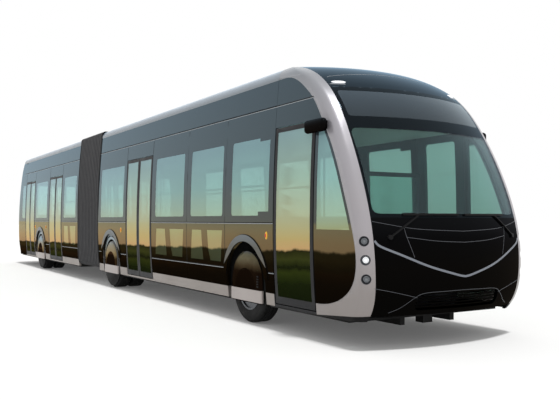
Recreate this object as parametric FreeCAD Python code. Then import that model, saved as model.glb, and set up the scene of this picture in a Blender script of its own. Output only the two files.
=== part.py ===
import FreeCAD, Part

import math
import os
from functools import lru_cache

# Articulated low-floor electric city bus, right-hand doors, in millimetres.
# +X is forward, +Y is the bus's left and +Z is up.
# The origin lies on the ground at the middle of the length and width.

# Overall size and axles
overall_length = 18730
body_half_width = 1275
roof_height = 3400
front_overhang = 2870
front_wheelbase = 5900
rear_wheelbase = 6550

# Lengths of the side bays, from the front door back
front_post_setback = 1166
door_1_length = 930
bay_1_length = 1360
bay_2_length = 1365
bay_3_length = 1580
door_2_length = 1400
bay_4_length = 1830
bellows_length = 1680
bay_5_length = 1550
door_3_length = 1400
bay_6_length = 1800
door_4_length = 1300

# Cross-section of the body
belt_height = 1250
tumblehome_radius = 20000
tuck_radius = 9600
skirt_bottom = 310
sill_top = 467
cantrail_bottom = 2606
cowl_bottom = 3232
cowl_side_rise = 98
cowl_side_lean = 27
cowl_edge_width = 102
cowl_edge_rise = 153
wall_thickness = 45
cowl_thickness = 40
rail_inner = 1110
floor_half_width = 1180
floor_top = 340
floor_thickness = 60
floor_overrun = 560
tail_floor_gap = 440
rail_offset = 400
rail_half_width = 35
rail_depth = 85
ceiling_thickness = 100

# Windows and side panels
window_bottom = 1482
window_top = 2513
window_corner = 45
window_margin = 165
bay_1_margins = (208, 119)
bay_2_margins = (160, 83)
bay_3_margins = (203, 130)
bay_4_margins = (185, 152)
bay_5_margins = (226, 190)
bay_6_margins = (202, 238)
pane_thickness = 8
seam = 5
lower_pane_bottom = 812
lower_pane_top = 1270
lower_pane_gap = 120
lower_pane_taper = 190
fascia_seam_height = 2892
fascia_seam_width = 12
fascia_seam_depth = 10

# Doors
leaf_thickness = 40
leaf_bottom = 352
leaf_frame = 62
leaf_foot = 95
jamb_gap = 20
leaf_gap = 16
header_gap = 8
hinge_inset = 150
hinge_setback = 66
hinge_pin_radius = 12
hinge_pin_play = 0.3

# Nose
nose_plan_radius = 3300
nose_corner_radius = 130
hoop_inset = 130
mask_bottom = 375
windscreen_bottom = 1450
windscreen_top = 3010
glass_thickness = 12
seat_clearance = 0.3
intake_half_width = 640
intake_bottom = 430
intake_top = 610
intake_corner = 60
louvre_count = 4
louvre_height = 14
lamp_radius = 56
lamp_heights = (790, 995, 1196)
lamp_depth = 95
lamp_recess = 14
lamp_lens_radius = 34
marker_bottom = 3040
marker_height = 50
marker_inner = 866
marker_length = 184

# Tail
tail_plan_radius = 6500
tail_corner_radius = 260
tail_lamp_width = 110
tail_lamp_height = 720

# Wheels and axles
tyre_radius = 478
tyre_width = 276
bead_radius = 286
bead_setback = 22
tyre_shoulder = 38
rim_thickness = 12
rim_lip = 16
twin_gap = 34
wheel_face = 1205
hub_radius = 118
spindle_radius = 42
hub_play = 0.05
disc_thickness = 24
kingpin_half_track = 990
kingpin_radius = 22
arch_half_width = 545
arch_top = 1128
arch_lip_width = 92
arch_lip_thickness = 16
arch_lip_foot = 640
well_length_margin = 20
well_thickness = 20
front_well_inner = 585
rear_well_inner = 565
cover_half_length = 397
cover_top = 957
cover_bottom = 306
cover_bevel = 34
cover_inner_face = 1222
cover_outer_face = 1246
backing_thickness = 10
beam_bottom = 170
beam_height = 85
beam_width = 180

# Articulation
turntable_radius = 760
turntable_gap = 12
bridge_half_width = 620
turntable_thickness = 20
bearing_radius = 330
pivot_radius = 90
pivot_play = 0.06
bellows_wall = 55
bellows_bottom = 345
bellows_top_corner = 150
bellows_bottom_corner = 110
bellows_lip = 1110

# Towing bore below the front edge of the floor
tow_block_length = 130
tow_block_half_width = 75
tow_bore_radius = 20
tow_bore_setback = 70

# Fittings
seat_width = 880
seat_pitch = 740
seat_depth = 430
seat_height = 430
seat_back_height = 680
seat_shell = 55
seat_pedestal = 120
pole_radius = 17
hanger_radius = 12
hanger_spacing = 1500
pack_half_width = 850
pack_height = 380
pack_length = 5200
pod_bottom = 2420
pod_setback = 10
pod_length = 250
pod_height = 170
pod_width = 108
pod_radius = 34
blade_length = 740
blade_gap = 50
blade_bottom = 1474
wiper_bar = 22
arm_reach = 190
arm_width = 26
arm_pivot_height = 1238

RIGHT = -1
LEFT = 1

# Stations along the bus
nose_x = overall_length / 2
tail_x = -overall_length / 2
axle_1 = nose_x - front_overhang
axle_2 = axle_1 - front_wheelbase
axle_3 = axle_2 - rear_wheelbase
front_post = nose_x - front_post_setback
bay_1_front = front_post - door_1_length
bay_2_front = bay_1_front - bay_1_length
bay_3_front = bay_2_front - bay_2_length
door_2_front = bay_3_front - bay_3_length
bay_4_front = door_2_front - door_2_length
bellows_front = bay_4_front - bay_4_length
bay_5_front = bellows_front - bellows_length
door_3_front = bay_5_front - bay_5_length
bay_6_front = door_3_front - door_3_length
door_4_front = bay_6_front - bay_6_length
tail_front = door_4_front - door_4_length
pivot_x = (bellows_front + bay_5_front) / 2
door_top = cantrail_bottom - header_gap
ceiling_bottom = cantrail_bottom
cover_centre_height = cover_top - cover_half_length
inner_wheel_face = wheel_face - tyre_width
twin_inner_face = inner_wheel_face - twin_gap - tyre_width

# Side view of the nose: height, and distance behind the foremost point
nose_outline = (
    (skirt_bottom, 190), (560, 38), (830, 0), (belt_height, 28), (1800, 182),
    (2476, 500), (2956, 835), (3290, 1290), (roof_height + 5, 1950),
)
nose_levels = (skirt_bottom, 440, 620, 830, 1050, belt_height, 1500, 1800, 2150, 2476, 2720, 2956, 3130,
               3260, 3340, 3385, roof_height + 5)
# Rear edge of the silver hoop on the side, from the cowl forward and down: distance behind the nose, height
hoop_edge = ((1970, cowl_bottom), (1716, 3187), (1451, 3031), (1275, 2883), (1069, 2620), (873, 2333),
             (549, 1642), (412, belt_height), (373, 906), (442, 718), (608, 573), (775, 499),
             (front_post_setback, 446))
# Side view of the tail: height, and distance ahead of the rearmost point
tail_outline = ((skirt_bottom, 90), (700, 12), (1100, 0), (2000, 60), (2700, 190), (3100, 340),
                (3320, 560), (roof_height + 5, 1000))
tail_levels = (skirt_bottom, 600, 1100, 1600, 2200, 2700, 3000, 3200, 3320, roof_height + 5)


def vec(x, y, z):
    """A point or direction."""
    return FreeCAD.Vector(x, y, z)


def block(rear, front, right, left, bottom, top):
    """A box given by its six sides."""
    return Part.makeBox(front - rear, left - right, top - bottom, vec(rear, right, bottom))


def cylinder(radius, start, end):
    """A round bar from one point to another."""
    line = end - start
    return Part.makeCylinder(radius, line.Length, start, line)


def fuse(shapes):
    """One solid out of pieces that meet."""
    return shapes[0].multiFuse(shapes[1:]).removeSplitter() if len(shapes) > 1 else shapes[0]


def group(shapes):
    """Separate solids kept side by side in one node."""
    solids = []
    for shape in shapes:
        solids.extend(shape.Solids)
    return Part.makeCompound(solids)


def cut_all(shape, tools):
    """A piece with every tool cut from it."""
    for tool in tools:
        shape = shape.cut(tool)
    return shape


def mirrored(shape):
    """The same piece on the other side of the bus."""
    return shape.mirror(vec(0, 0, 0), vec(0, 1, 0))


def on_side(shape, side):
    """A piece drawn on the left, put on the side asked for."""
    return shape if side == LEFT else mirrored(shape)


def both_sides(shape):
    """A piece drawn on the left and its mirror image on the right."""
    return [shape, mirrored(shape)]


def half_width(height):
    """Half the body's width at a height: widest at the belt, drawn in above and below it."""
    radius = tumblehome_radius if height > belt_height else tuck_radius
    return body_half_width - radius + math.sqrt(radius ** 2 - (height - belt_height) ** 2)


def skin_edges(bottom, top, inset, side=LEFT):
    """Arcs that follow the body side from one height to another, set in by a distance."""
    stops = [bottom, belt_height, top] if bottom < belt_height < top else [bottom, top]
    edges = []
    for low, high in zip(stops, stops[1:]):
        points = [vec(0, side * (half_width(z) - inset), z) for z in (low, (low + high) / 2, high)]
        edges.append(Part.Arc(*points).toShape())
    return edges


def extruded(edges, rear, front):
    """A section in the YZ plane, drawn from one station along the bus to another."""
    face = Part.Face(Part.Wire(Part.__sortEdges__(edges)))
    face.translate(vec(rear, 0, 0))
    return face.extrude(vec(front - rear, 0, 0))


def side_slab(rear, front, bottom, top, thickness, outer=0):
    """A curved piece of the left side wall."""
    inner = outer + thickness
    edges = skin_edges(bottom, top, outer) + skin_edges(bottom, top, inner)
    for height in (bottom, top):
        width = half_width(height)
        edges.append(Part.makeLine(vec(0, width - inner, height), vec(0, width - outer, height)))
    return extruded(edges, rear, front)


def side_rail(rear, front, bottom, top, inner_y):
    """A piece of the left side with a curved outer face and a flat inner face."""
    edges = skin_edges(bottom, top, 0)
    edges.append(Part.makeLine(vec(0, half_width(bottom), bottom), vec(0, inner_y, bottom)))
    edges.append(Part.makeLine(vec(0, inner_y, bottom), vec(0, inner_y, top)))
    edges.append(Part.makeLine(vec(0, inner_y, top), vec(0, half_width(top), top)))
    return extruded(edges, rear, front)


def across(points, right=0, left=2 * body_half_width):
    """A polygon in side view, drawn through the bus from one y to another."""
    corners = [vec(x, right, z) for x, z in points]
    return Part.Face(Part.makePolygon(corners + [corners[0]])).extrude(vec(0, left - right, 0))


def rounded_opening(rear, front, bottom, top, radius, right=0, left=2 * body_half_width):
    """A round-cornered hole through a side wall."""
    hole = block(rear, front, right, left, bottom, top)
    corners = [e for e in hole.Edges if abs(e.tangentAt(e.FirstParameter).y) > 0.9]
    return hole.makeFillet(radius, corners)


def arch_prism(axle, half_length, top, bottom, right=0, left=2 * body_half_width):
    """A round-topped space over an axle."""
    centre = top - half_length
    dome = Part.makeCylinder(half_length, left - right, vec(axle, right, centre), vec(0, 1, 0))
    return fuse([dome, block(axle - half_length, axle + half_length, right, left, bottom, centre)])


def lower_openings(rear_edge, front_edge):
    """The pair of tapered lower windows of a bay, whose slanted sides lie along each other."""
    middle = (rear_edge + front_edge) / 2
    half_gap = lower_pane_gap / 2
    lean = lower_pane_taper / 2
    aft = across([(rear_edge, lower_pane_bottom), (middle + lean - half_gap, lower_pane_bottom),
                  (middle - lean - half_gap, lower_pane_top), (rear_edge, lower_pane_top)])
    fore = across([(middle + lean + half_gap, lower_pane_bottom), (front_edge, lower_pane_bottom),
                   (front_edge, lower_pane_top), (middle - lean + half_gap, lower_pane_top)])
    return [aft, fore]


def bay(rear, front, margins=(window_margin, window_margin), lower=False, axle=None):
    """One side bay of the left wall: its wall with the holes cut, and the panes that fill them."""
    wall = side_slab(rear + seam / 2, front - seam / 2, sill_top, cantrail_bottom, wall_thickness)
    rear_edge = rear + margins[0]
    front_edge = front - margins[1]
    holes = [rounded_opening(rear_edge, front_edge, window_bottom, window_top, window_corner)]
    if lower:
        holes += lower_openings(rear_edge, front_edge)
    glass = side_slab(rear, front, sill_top, cantrail_bottom, pane_thickness)
    panes = [glass.common(hole) for hole in holes]
    wall = cut_all(wall, holes)
    if axle is not None:
        wall = wall.cut(arch_prism(axle, arch_half_width, arch_top, 0))
    return wall, panes


def sill(rear, front, axle=None):
    """The silver band below a bay."""
    band = side_rail(rear, front, skirt_bottom, sill_top, floor_half_width)
    if axle is not None:
        band = band.cut(arch_prism(axle, arch_half_width, arch_top, 0))
    return band


def cantrail(rear, front):
    """The black upper side panel with the seam that runs along it."""
    rail = side_rail(rear, front, cantrail_bottom, cowl_bottom, rail_inner)
    width = half_width(fascia_seam_height)
    groove = block(rear, front, width - fascia_seam_depth, width + fascia_seam_depth, fascia_seam_height,
                   fascia_seam_height + fascia_seam_width)
    return rail.cut(groove)


def roof_section(inset, rear, front, bottom, ledge=None):
    """The body section with its rolled roof edges as a solid, or only its roof over wide sides."""
    edge_y = half_width(cowl_bottom) - inset
    shoulder_y = half_width(cowl_bottom) - cowl_edge_width - 0.6 * inset
    shoulder_z = cowl_bottom + cowl_edge_rise - inset
    foot = half_width(bottom) - inset
    if ledge is not None:
        edge_y -= ledge
        foot = 2 * body_half_width
    edges = []
    for side in (LEFT, RIGHT):
        if ledge is not None:
            edges.append(Part.makeLine(vec(0, side * foot, bottom), vec(0, side * foot, cowl_bottom)))
            edges.append(Part.makeLine(vec(0, side * foot, cowl_bottom), vec(0, side * edge_y, cowl_bottom)))
        elif bottom < cowl_bottom:
            edges += skin_edges(bottom, cowl_bottom, inset, side)
        edges.append(Part.Arc(
            vec(0, side * edge_y, cowl_bottom),
            vec(0, side * (edge_y - cowl_side_lean), cowl_bottom + cowl_side_rise - 0.6 * inset),
            vec(0, side * shoulder_y, shoulder_z)).toShape())
    edges.append(Part.Arc(vec(0, shoulder_y, shoulder_z), vec(0, 0, roof_height - inset),
                          vec(0, -shoulder_y, shoulder_z)).toShape())
    edges.append(Part.makeLine(vec(0, foot, bottom), vec(0, -foot, bottom)))
    return extruded(edges, rear, front)


def cowl(rear, front):
    """The roof cover with its silver rolled edges, open below."""
    return roof_section(0, rear, front, cowl_bottom).cut(
        roof_section(cowl_thickness, rear - 1, front + 1, cowl_bottom - 1))


def end_outline(points):
    """The side view of an end of the bus as a smooth curve of setback over height."""
    curve = Part.BSplineCurve()
    curve.interpolate([vec(height, 0, setback) for height, setback in points])
    return curve


def setback_at(curve, height):
    """How far back the end lies at a height."""
    low = curve.FirstParameter
    high = curve.LastParameter
    for _ in range(40):
        middle = (low + high) / 2
        if curve.value(middle).x < height:
            low = middle
        else:
            high = middle
    return curve.value(low).z


def end_plan(curve, height, inset, plan_radius, corner_radius, reach):
    """One level of an end in plan: straight sides, round corners and a bowed front, nose at x = 0."""
    radius = plan_radius - setback_at(curve, height) - inset
    width = half_width(height) - inset
    corner = corner_radius - inset if corner_radius > 2 * inset else corner_radius / 2
    rise = max(0, (height - belt_height) / (roof_height - belt_height))
    level = height - inset * rise
    corner_x = -plan_radius + math.sqrt((radius - corner) ** 2 - (width - corner) ** 2)
    angle = math.atan2(width - corner, corner_x + plan_radius)
    middle = (angle + math.pi / 2) / 2
    bow_x = -plan_radius + radius * math.cos(angle)
    bow_y = radius * math.sin(angle)
    round_x = corner_x + corner * math.cos(middle)
    round_y = width - corner + corner * math.sin(middle)
    return Part.Wire([
        Part.makeLine(vec(-reach, -width, level), vec(corner_x, -width, level)),
        Part.Arc(vec(corner_x, -width, level), vec(round_x, -round_y, level),
                 vec(bow_x, -bow_y, level)).toShape(),
        Part.Arc(vec(bow_x, -bow_y, level), vec(radius - plan_radius, 0, level),
                 vec(bow_x, bow_y, level)).toShape(),
        Part.Arc(vec(bow_x, bow_y, level), vec(round_x, round_y, level),
                 vec(corner_x, width, level)).toShape(),
        Part.makeLine(vec(corner_x, width, level), vec(-reach, width, level)),
        Part.makeLine(vec(-reach, width, level), vec(-reach, -width, level)),
    ])


@lru_cache(maxsize=None)
def nose_form(inset):
    """The front end as a solid, set in by a wall thickness."""
    curve = end_outline(nose_outline)
    plans = [end_plan(curve, z, inset, nose_plan_radius, nose_corner_radius, 3100) for z in nose_levels]
    form = Part.makeLoft(plans, True, False)
    form.translate(vec(nose_x, 0, 0))
    return form.common(roof_section(inset, bay_1_front - inset, nose_x + 100, skirt_bottom - 100, seat_clearance))


@lru_cache(maxsize=None)
def tail_form(inset):
    """The rear end as a solid, set in by a wall thickness."""
    curve = end_outline(tail_outline)
    plans = [end_plan(curve, z, inset, tail_plan_radius, tail_corner_radius, 1900) for z in tail_levels]
    form = Part.makeLoft(plans, True, False)
    form.rotate(vec(0, 0, 0), vec(0, 0, 1), 180)
    form.translate(vec(tail_x, 0, 0))
    return form.common(roof_section(inset, tail_x - 100, tail_front + inset, skirt_bottom - 100, seat_clearance))


def hoop_region():
    """Everything behind and below the silver hoop's rear edge in side view."""
    points = [vec(nose_x - setback, -2 * body_half_width, z) for setback, z in hoop_edge]
    curve = Part.BSplineCurve()
    curve.interpolate(points)
    back_top = vec(bay_1_front - 200, points[0].y, points[0].z)
    back_bottom = vec(bay_1_front - 200, points[-1].y, points[-1].z)
    wire = Part.Wire([curve.toShape(), Part.makeLine(points[-1], back_bottom),
                      Part.makeLine(back_bottom, back_top), Part.makeLine(back_top, points[0])])
    return Part.Face(wire).extrude(vec(0, 4 * body_half_width, 0))


def core_section(inset):
    """What lies between the hoop's two legs, seen from the front."""
    edges = skin_edges(skirt_bottom - 100, roof_height + 100, inset, LEFT)
    edges += skin_edges(skirt_bottom - 100, roof_height + 100, inset, RIGHT)
    for height in (skirt_bottom - 100, roof_height + 100):
        width = half_width(height) - inset
        edges.append(Part.makeLine(vec(0, -width, height), vec(0, width, height)))
    return extruded(edges, bay_1_front - 10, nose_x + 20)


def lamp_axis(side):
    """The direction that the corner lamps face."""
    return vec(math.cos(math.radians(45)), side * math.sin(math.radians(45)), 0)


def lamp_centre(height, side):
    """Where a corner lamp's axis meets the middle of the nose corner."""
    radius = nose_plan_radius - setback_at(end_outline(nose_outline), height)
    width = half_width(height)
    corner = nose_corner_radius
    x = nose_x - nose_plan_radius + math.sqrt((radius - corner) ** 2 - (width - corner) ** 2)
    turn = math.radians(45)
    return vec(x + corner * math.cos(turn), side * (width - corner + corner * math.sin(turn)), height)


def lamp_unit(height, side):
    """A round corner lamp: a sunk housing with a domed lens."""
    axis = lamp_axis(side)
    face = lamp_centre(height, side) - axis * lamp_recess
    housing = Part.makeCylinder(lamp_radius - seat_clearance, lamp_depth - lamp_recess, face, axis * -1)
    cup = Part.makeCone(lamp_lens_radius, lamp_radius - 8, 22, face - axis * 22, axis)
    lens = Part.makeSphere(lamp_lens_radius, face - axis * (22 + lamp_lens_radius * 0.6))
    return fuse([housing.cut(cup), lens])


def build_nose():
    """The front end: hoop, mask, windscreen, dome and the black side pieces behind the hoop."""
    outer = nose_form(0)
    shell = outer.cut(nose_form(cowl_thickness))
    glass_shell = outer.cut(nose_form(glass_thickness))
    region = hoop_region()
    core = core_section(hoop_inset)
    core_loose = core_section(hoop_inset + seat_clearance)
    span = (bay_1_front - 50, nose_x + 50, -2 * body_half_width, 2 * body_half_width)

    hoop = shell.cut(core).cut(region)
    hoop = hoop.cut(block(span[0], front_post, span[2], span[3], 0, belt_height))
    for side in (LEFT, RIGHT):
        for height in lamp_heights:
            hole = cylinder(lamp_radius, lamp_centre(height, side) + lamp_axis(side) * 60,
                            lamp_centre(height, side) - lamp_axis(side) * 160)
            hoop = hoop.cut(hole)

    front = shell.common(core_loose)
    mask = front.common(block(*span, mask_bottom, windscreen_bottom))
    mask = mask.cut(rounded_opening_x(intake_half_width, intake_bottom, intake_top, intake_corner))
    bars = []
    pitch = (intake_top - intake_bottom) / (louvre_count + 1)
    louvre_shell = nose_form(cowl_thickness / 2).cut(nose_form(cowl_thickness))
    for index in range(louvre_count):
        height = intake_bottom + (index + 1) * pitch - louvre_height / 2
        bars.append(louvre_shell.common(
            block(front_post, nose_x, -intake_half_width - 5, intake_half_width + 5, height,
                  height + louvre_height)))
    mask = fuse([mask] + bars)
    windscreen = glass_shell.common(core_loose).common(block(*span, windscreen_bottom, windscreen_top))
    dome = front.common(block(*span, windscreen_top, roof_height + 50))
    slots = both_sides(block(front_post, nose_x, marker_inner, marker_inner + marker_length, marker_bottom,
                             marker_bottom + marker_height))
    markers = [dome.common(slot) for slot in slots]
    dome = cut_all(dome, slots)

    upper = shell.common(region).cut(core).common(block(*span, cantrail_bottom, cowl_bottom))
    quarter = shell.common(region).cut(core)
    quarter = quarter.common(block(front_post, span[1], span[2], span[3], 0, cantrail_bottom - seat_clearance))
    view = region.copy()
    view.translate(vec(-48, 0, 0))
    view = view.common(block(front_post + 60, nose_x, span[2], span[3], 760, 2540))
    quarter_glass = outer.cut(nose_form(pane_thickness)).common(view).cut(core)
    quarter = quarter.cut(view)
    return hoop, mask, windscreen, dome, markers, upper, quarter, quarter_glass


def rounded_opening_x(half, bottom, top, radius):
    """A round-cornered hole through the nose, seen from the front."""
    hole = block(front_post + 600, nose_x + 50, -half, half, bottom, top)
    corners = [e for e in hole.Edges if abs(e.tangentAt(e.FirstParameter).x) > 0.9]
    return hole.makeFillet(radius, corners)


def wheel_well(axle, inner_y):
    """The box over the left wheels of an axle, open below and outwards."""
    half = arch_half_width + well_length_margin
    roof = arch_top + well_thickness
    bottom = floor_top - floor_thickness
    case = block(axle - half - well_thickness, axle + half + well_thickness, inner_y - well_thickness,
                 floor_half_width, bottom, roof)
    return case.cut(block(axle - half, axle + half, inner_y, floor_half_width + 1, bottom - 1, arch_top))


def floor_pan(rear, front, axles):
    """The low floor with the wheel wells and the two chassis rails below it."""
    bottom = floor_top - floor_thickness
    pan = block(rear, front, -floor_half_width, floor_half_width, bottom, floor_top)
    rails = []
    for side in (LEFT, RIGHT):
        rails.append(block(rear, front, side * rail_offset - rail_half_width, side * rail_offset + rail_half_width,
                           bottom - rail_depth, bottom))
    pan = fuse([pan] + rails)
    wells = []
    half = arch_half_width + well_length_margin + well_thickness
    for axle, inner_y in axles:
        outside = block(axle - half, axle + half, inner_y - well_thickness, floor_half_width + 1,
                        bottom - 200, floor_top + 1)
        pan = pan.cut(outside).cut(mirrored(outside))
        pan = pan.cut(block(axle - 480, axle + 480, -500, 500, bottom - 200, bottom))
        wells += both_sides(wheel_well(axle, inner_y))
    return fuse([pan] + wells)


def tyre(centre_x, inner_face, outer_face):
    """A tyre drawn on the left side between two side planes."""
    middle = (inner_face + outer_face) / 2
    half = (outer_face - inner_face) / 2
    bead = half - bead_setback
    widest = (bead_radius + tyre_radius) / 2
    profile = [(bead, bead_radius), (bead, bead_radius + rim_lip), (half - 6, bead_radius + rim_lip + 29),
               (half, widest), (half - 8, tyre_radius - tyre_shoulder), (half - tyre_shoulder, tyre_radius)]
    outline = [(middle + y, radius) for y, radius in profile]
    outline += [(middle - y, radius) for y, radius in reversed(profile)]
    return revolved_wheel(outline, centre_x)


def revolved_wheel(points, centre_x):
    """A wheel part turned about the axle line, from y and radius pairs on the left side."""
    corners = [vec(0, y, radius) for y, radius in points]
    face = Part.Face(Part.makePolygon(corners + [corners[0]]))
    solid = face.revolve(vec(0, 0, 0), vec(0, 1, 0), 360)
    solid.translate(vec(centre_x, 0, tyre_radius))
    return solid


def rim(centre_x, inner_face, outer_face, disc_face):
    """A wheel rim with its disc and hub, for one tyre."""
    bead_in = inner_face + bead_setback
    bead_out = outer_face - bead_setback
    bore = spindle_radius + hub_play
    inside = bead_radius - rim_thickness
    profile = [
        (bead_in - 10, bead_radius + rim_lip), (bead_in, bead_radius + rim_lip), (bead_in, bead_radius),
        (bead_out, bead_radius), (bead_out, bead_radius + rim_lip), (bead_out + 10, bead_radius + rim_lip),
        (bead_out + 10, inside), (disc_face, inside), (disc_face, hub_radius),
        (disc_face + 20, hub_radius), (disc_face + 20, bore), (disc_face - disc_thickness - 60, bore),
        (disc_face - disc_thickness - 60, hub_radius), (disc_face - disc_thickness, hub_radius),
        (disc_face - disc_thickness, inside), (bead_in - 10, inside),
    ]
    return revolved_wheel(profile, centre_x)


def twin_rim(centre_x):
    """The pair of rims of a twin wheel on one hub."""
    bore = spindle_radius + hub_play
    outer = rim(centre_x, inner_wheel_face, wheel_face, inner_wheel_face + 60)
    inner = rim(centre_x, twin_inner_face, twin_inner_face + tyre_width,
                twin_inner_face + tyre_width - 60)
    sleeve = Part.makeCylinder(hub_radius, 2 * tyre_width, vec(centre_x, twin_inner_face + 120, tyre_radius),
                               vec(0, 1, 0))
    sleeve = sleeve.common(block(centre_x - 200, centre_x + 200, twin_inner_face + 150,
                                 inner_wheel_face + 60, 0, 2 * tyre_radius))
    hole = Part.makeCylinder(bore, 3 * tyre_width, vec(centre_x, twin_inner_face, tyre_radius), vec(0, 1, 0))
    return fuse([outer, inner, sleeve.cut(hole)])


def domed_cover(axle, inner_face, outer_face):
    """A round-topped wheel cover with bevelled sides, drawn on the left."""
    def outline(y, grow):
        half = cover_half_length + grow
        centre = cover_centre_height
        foot = cover_bottom - grow / 2
        start = vec(axle - half, y, centre)
        end = vec(axle + half, y, centre)
        return Part.Wire([
            Part.Arc(start, vec(axle, y, centre + half), end).toShape(),
            Part.makeLine(end, vec(axle + half, y, foot)),
            Part.makeLine(vec(axle + half, y, foot), vec(axle - half, y, foot)),
            Part.makeLine(vec(axle - half, y, foot), start),
        ])
    base = Part.Face(outline(inner_face, cover_bevel)).extrude(vec(0, 6, 0))
    dome = Part.makeLoft([outline(inner_face + 6, cover_bevel), outline(outer_face, 0)], True, True)
    return fuse([base, dome])


def arch_lip(axle):
    """The raised eyebrow round a wheel arch on the left side, standing on the wall's skin."""
    outer = arch_prism(axle, arch_half_width + arch_lip_width, arch_top + arch_lip_width, 0)
    inner = arch_prism(axle, arch_half_width, arch_top, 0)
    skin = side_slab(axle - 700, axle + 700, arch_lip_foot, cantrail_bottom, arch_lip_thickness,
                     -arch_lip_thickness)
    return skin.common(outer).cut(inner)


def fixed_cover(axle):
    """The closed arch of a rear axle: eyebrow, backing plate and domed cover in one panel."""
    plate = arch_prism(axle, arch_half_width - seat_clearance, arch_top - seat_clearance, skirt_bottom,
                       cover_inner_face - backing_thickness, cover_inner_face + backing_thickness / 2)
    rim_ring = arch_prism(axle, arch_half_width - seat_clearance, arch_top - seat_clearance, skirt_bottom)
    rim_ring = rim_ring.cut(arch_prism(axle, arch_half_width - 14, arch_top - 14, 0))
    rim_ring = side_slab(axle - 700, axle + 700, skirt_bottom, cantrail_bottom, 36, 0).common(rim_ring)
    dome = domed_cover(axle, cover_inner_face, cover_outer_face + 6)
    return fuse([plate, rim_ring, dome])


def knuckle(side):
    """The steering knuckle with its spindle and the wheel cover on the spindle's end."""
    centre = vec(axle_1, kingpin_half_track, tyre_radius)
    pin = cylinder(kingpin_radius - 0.05, centre + vec(0, 0, -122), centre + vec(0, 0, 122))
    arms = []
    for low, high in ((84, 122), (-122, -84)):
        arm = Part.makeCylinder(46, high - low, centre + vec(0, 0, low))
        arms.append(fuse([arm, block(axle_1 - 46, axle_1 + 46, kingpin_half_track,
                                     kingpin_half_track + 75, tyre_radius + low, tyre_radius + high)]))
    plate = block(axle_1 - 60, axle_1 + 60, kingpin_half_track + 50, kingpin_half_track + 75,
                  tyre_radius - 122, tyre_radius + 122)
    spindle = cylinder(spindle_radius, centre + vec(0, 74, 0), vec(axle_1, cover_inner_face, tyre_radius))
    lever = block(axle_1 - 190, axle_1 - 30, kingpin_half_track - 42, kingpin_half_track - 4,
                  tyre_radius - 122, tyre_radius - 90)
    cover = domed_cover(axle_1, cover_inner_face, cover_outer_face)
    return on_side(fuse([pin] + arms + [plate, spindle, lever, cover]), side)


def front_beam():
    """The dropped front axle beam with a boss for each kingpin."""
    bottom = beam_bottom
    top = beam_bottom + beam_height
    half = beam_width / 2
    pieces = [block(axle_1 - half, axle_1 + half, -690, 690, bottom, top)]
    for side in (LEFT, RIGHT):
        rise = Part.Face(Part.makePolygon([
            vec(axle_1 - 38, 600, bottom), vec(axle_1 - 38, 690, bottom), vec(axle_1 - 38, 880, 400),
            vec(axle_1 - 38, 990, 400), vec(axle_1 - 38, 990, 556), vec(axle_1 - 38, 850, 556),
            vec(axle_1 - 38, 600, top), vec(axle_1 - 38, 600, bottom)])).extrude(vec(76, 0, 0))
        boss = Part.makeCylinder(42, 156, vec(axle_1, kingpin_half_track, 400))
        end = fuse([rise, boss])
        end = end.cut(Part.makeCylinder(kingpin_radius, 300, vec(axle_1, kingpin_half_track, 300)))
        pieces.append(on_side(end, side))
    pieces += spring_pads(axle_1)
    return fuse(pieces)


def spring_pads(axle):
    """Trailing arms and air springs that carry the body on an axle."""
    pieces = []
    bottom = floor_top - floor_thickness
    for side in (LEFT, RIGHT):
        for end in (-1, 1):
            reach = axle + end * 350
            low, high = sorted((axle, reach))
            pieces.append(block(low, high, side * 300 - 50, side * 300 + 50, beam_bottom, beam_bottom + 50))
            pieces.append(Part.makeCylinder(95, bottom - beam_bottom - 45,
                                            vec(reach, side * 300, beam_bottom + 45)))
    return pieces


def portal_axle(axle, motor=False):
    """A dropped rear axle beam with a portal case and a hub stub at each end."""
    half = beam_width / 2
    case_inner = rear_well_inner + 8
    case_outer = twin_inner_face - 8
    pieces = [block(axle - half, axle + half, -case_outer, case_outer, beam_bottom, beam_bottom + beam_height)]
    for side in (LEFT, RIGHT):
        case = block(axle - 130, axle + 130, case_inner, case_outer, beam_bottom, tyre_radius + 130)
        stub = cylinder(spindle_radius, vec(axle, case_inner + 5, tyre_radius),
                        vec(axle, inner_wheel_face + 90, tyre_radius))
        flange = cylinder(hub_radius - 20, vec(axle, case_inner + 5, tyre_radius),
                          vec(axle, twin_inner_face + 20, tyre_radius))
        pieces.append(on_side(fuse([case, stub, flange]), side))
    if motor:
        pieces.append(Part.makeCylinder(52, 560, vec(axle, -280, beam_bottom + 50), vec(0, 1, 0)))
    pieces += spring_pads(axle)
    return fuse(pieces)


def door_leaf(rear, front, hinge_at_front):
    """One glazed door leaf on the right side with its hinge pins, and the pins' axis in x."""
    slab = side_slab(rear, front, leaf_bottom, door_top, leaf_thickness)
    pocket = rounded_opening(rear + leaf_frame, front - leaf_frame, leaf_bottom + leaf_foot,
                             door_top - leaf_frame, 30)
    hollow = side_slab(rear, front, leaf_bottom, door_top, leaf_thickness, pane_thickness)
    leaf = slab.cut(hollow.common(pocket))
    pin_x = front - hinge_inset if hinge_at_front else rear + hinge_inset
    pin_y = body_half_width - hinge_setback
    pins = [Part.makeCylinder(hinge_pin_radius, 30, vec(pin_x, pin_y, leaf_bottom - 16)),
            Part.makeCylinder(hinge_pin_radius, 34, vec(pin_x, pin_y, door_top - 18))]
    return mirrored(fuse([leaf] + pins)), pin_x


def pin_sockets(pin_x):
    """The holes in threshold and header that a leaf's pins turn in, on the right side."""
    pin_y = -(body_half_width - hinge_setback)
    return cylinder(hinge_pin_radius + hinge_pin_play, vec(pin_x, pin_y, floor_top - 8),
                    vec(pin_x, pin_y, cantrail_bottom + 12))


def threshold(rear, front):
    """The door sill on the right side, level with the floor."""
    return mirrored(side_rail(rear, front, skirt_bottom, floor_top, floor_half_width))


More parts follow.
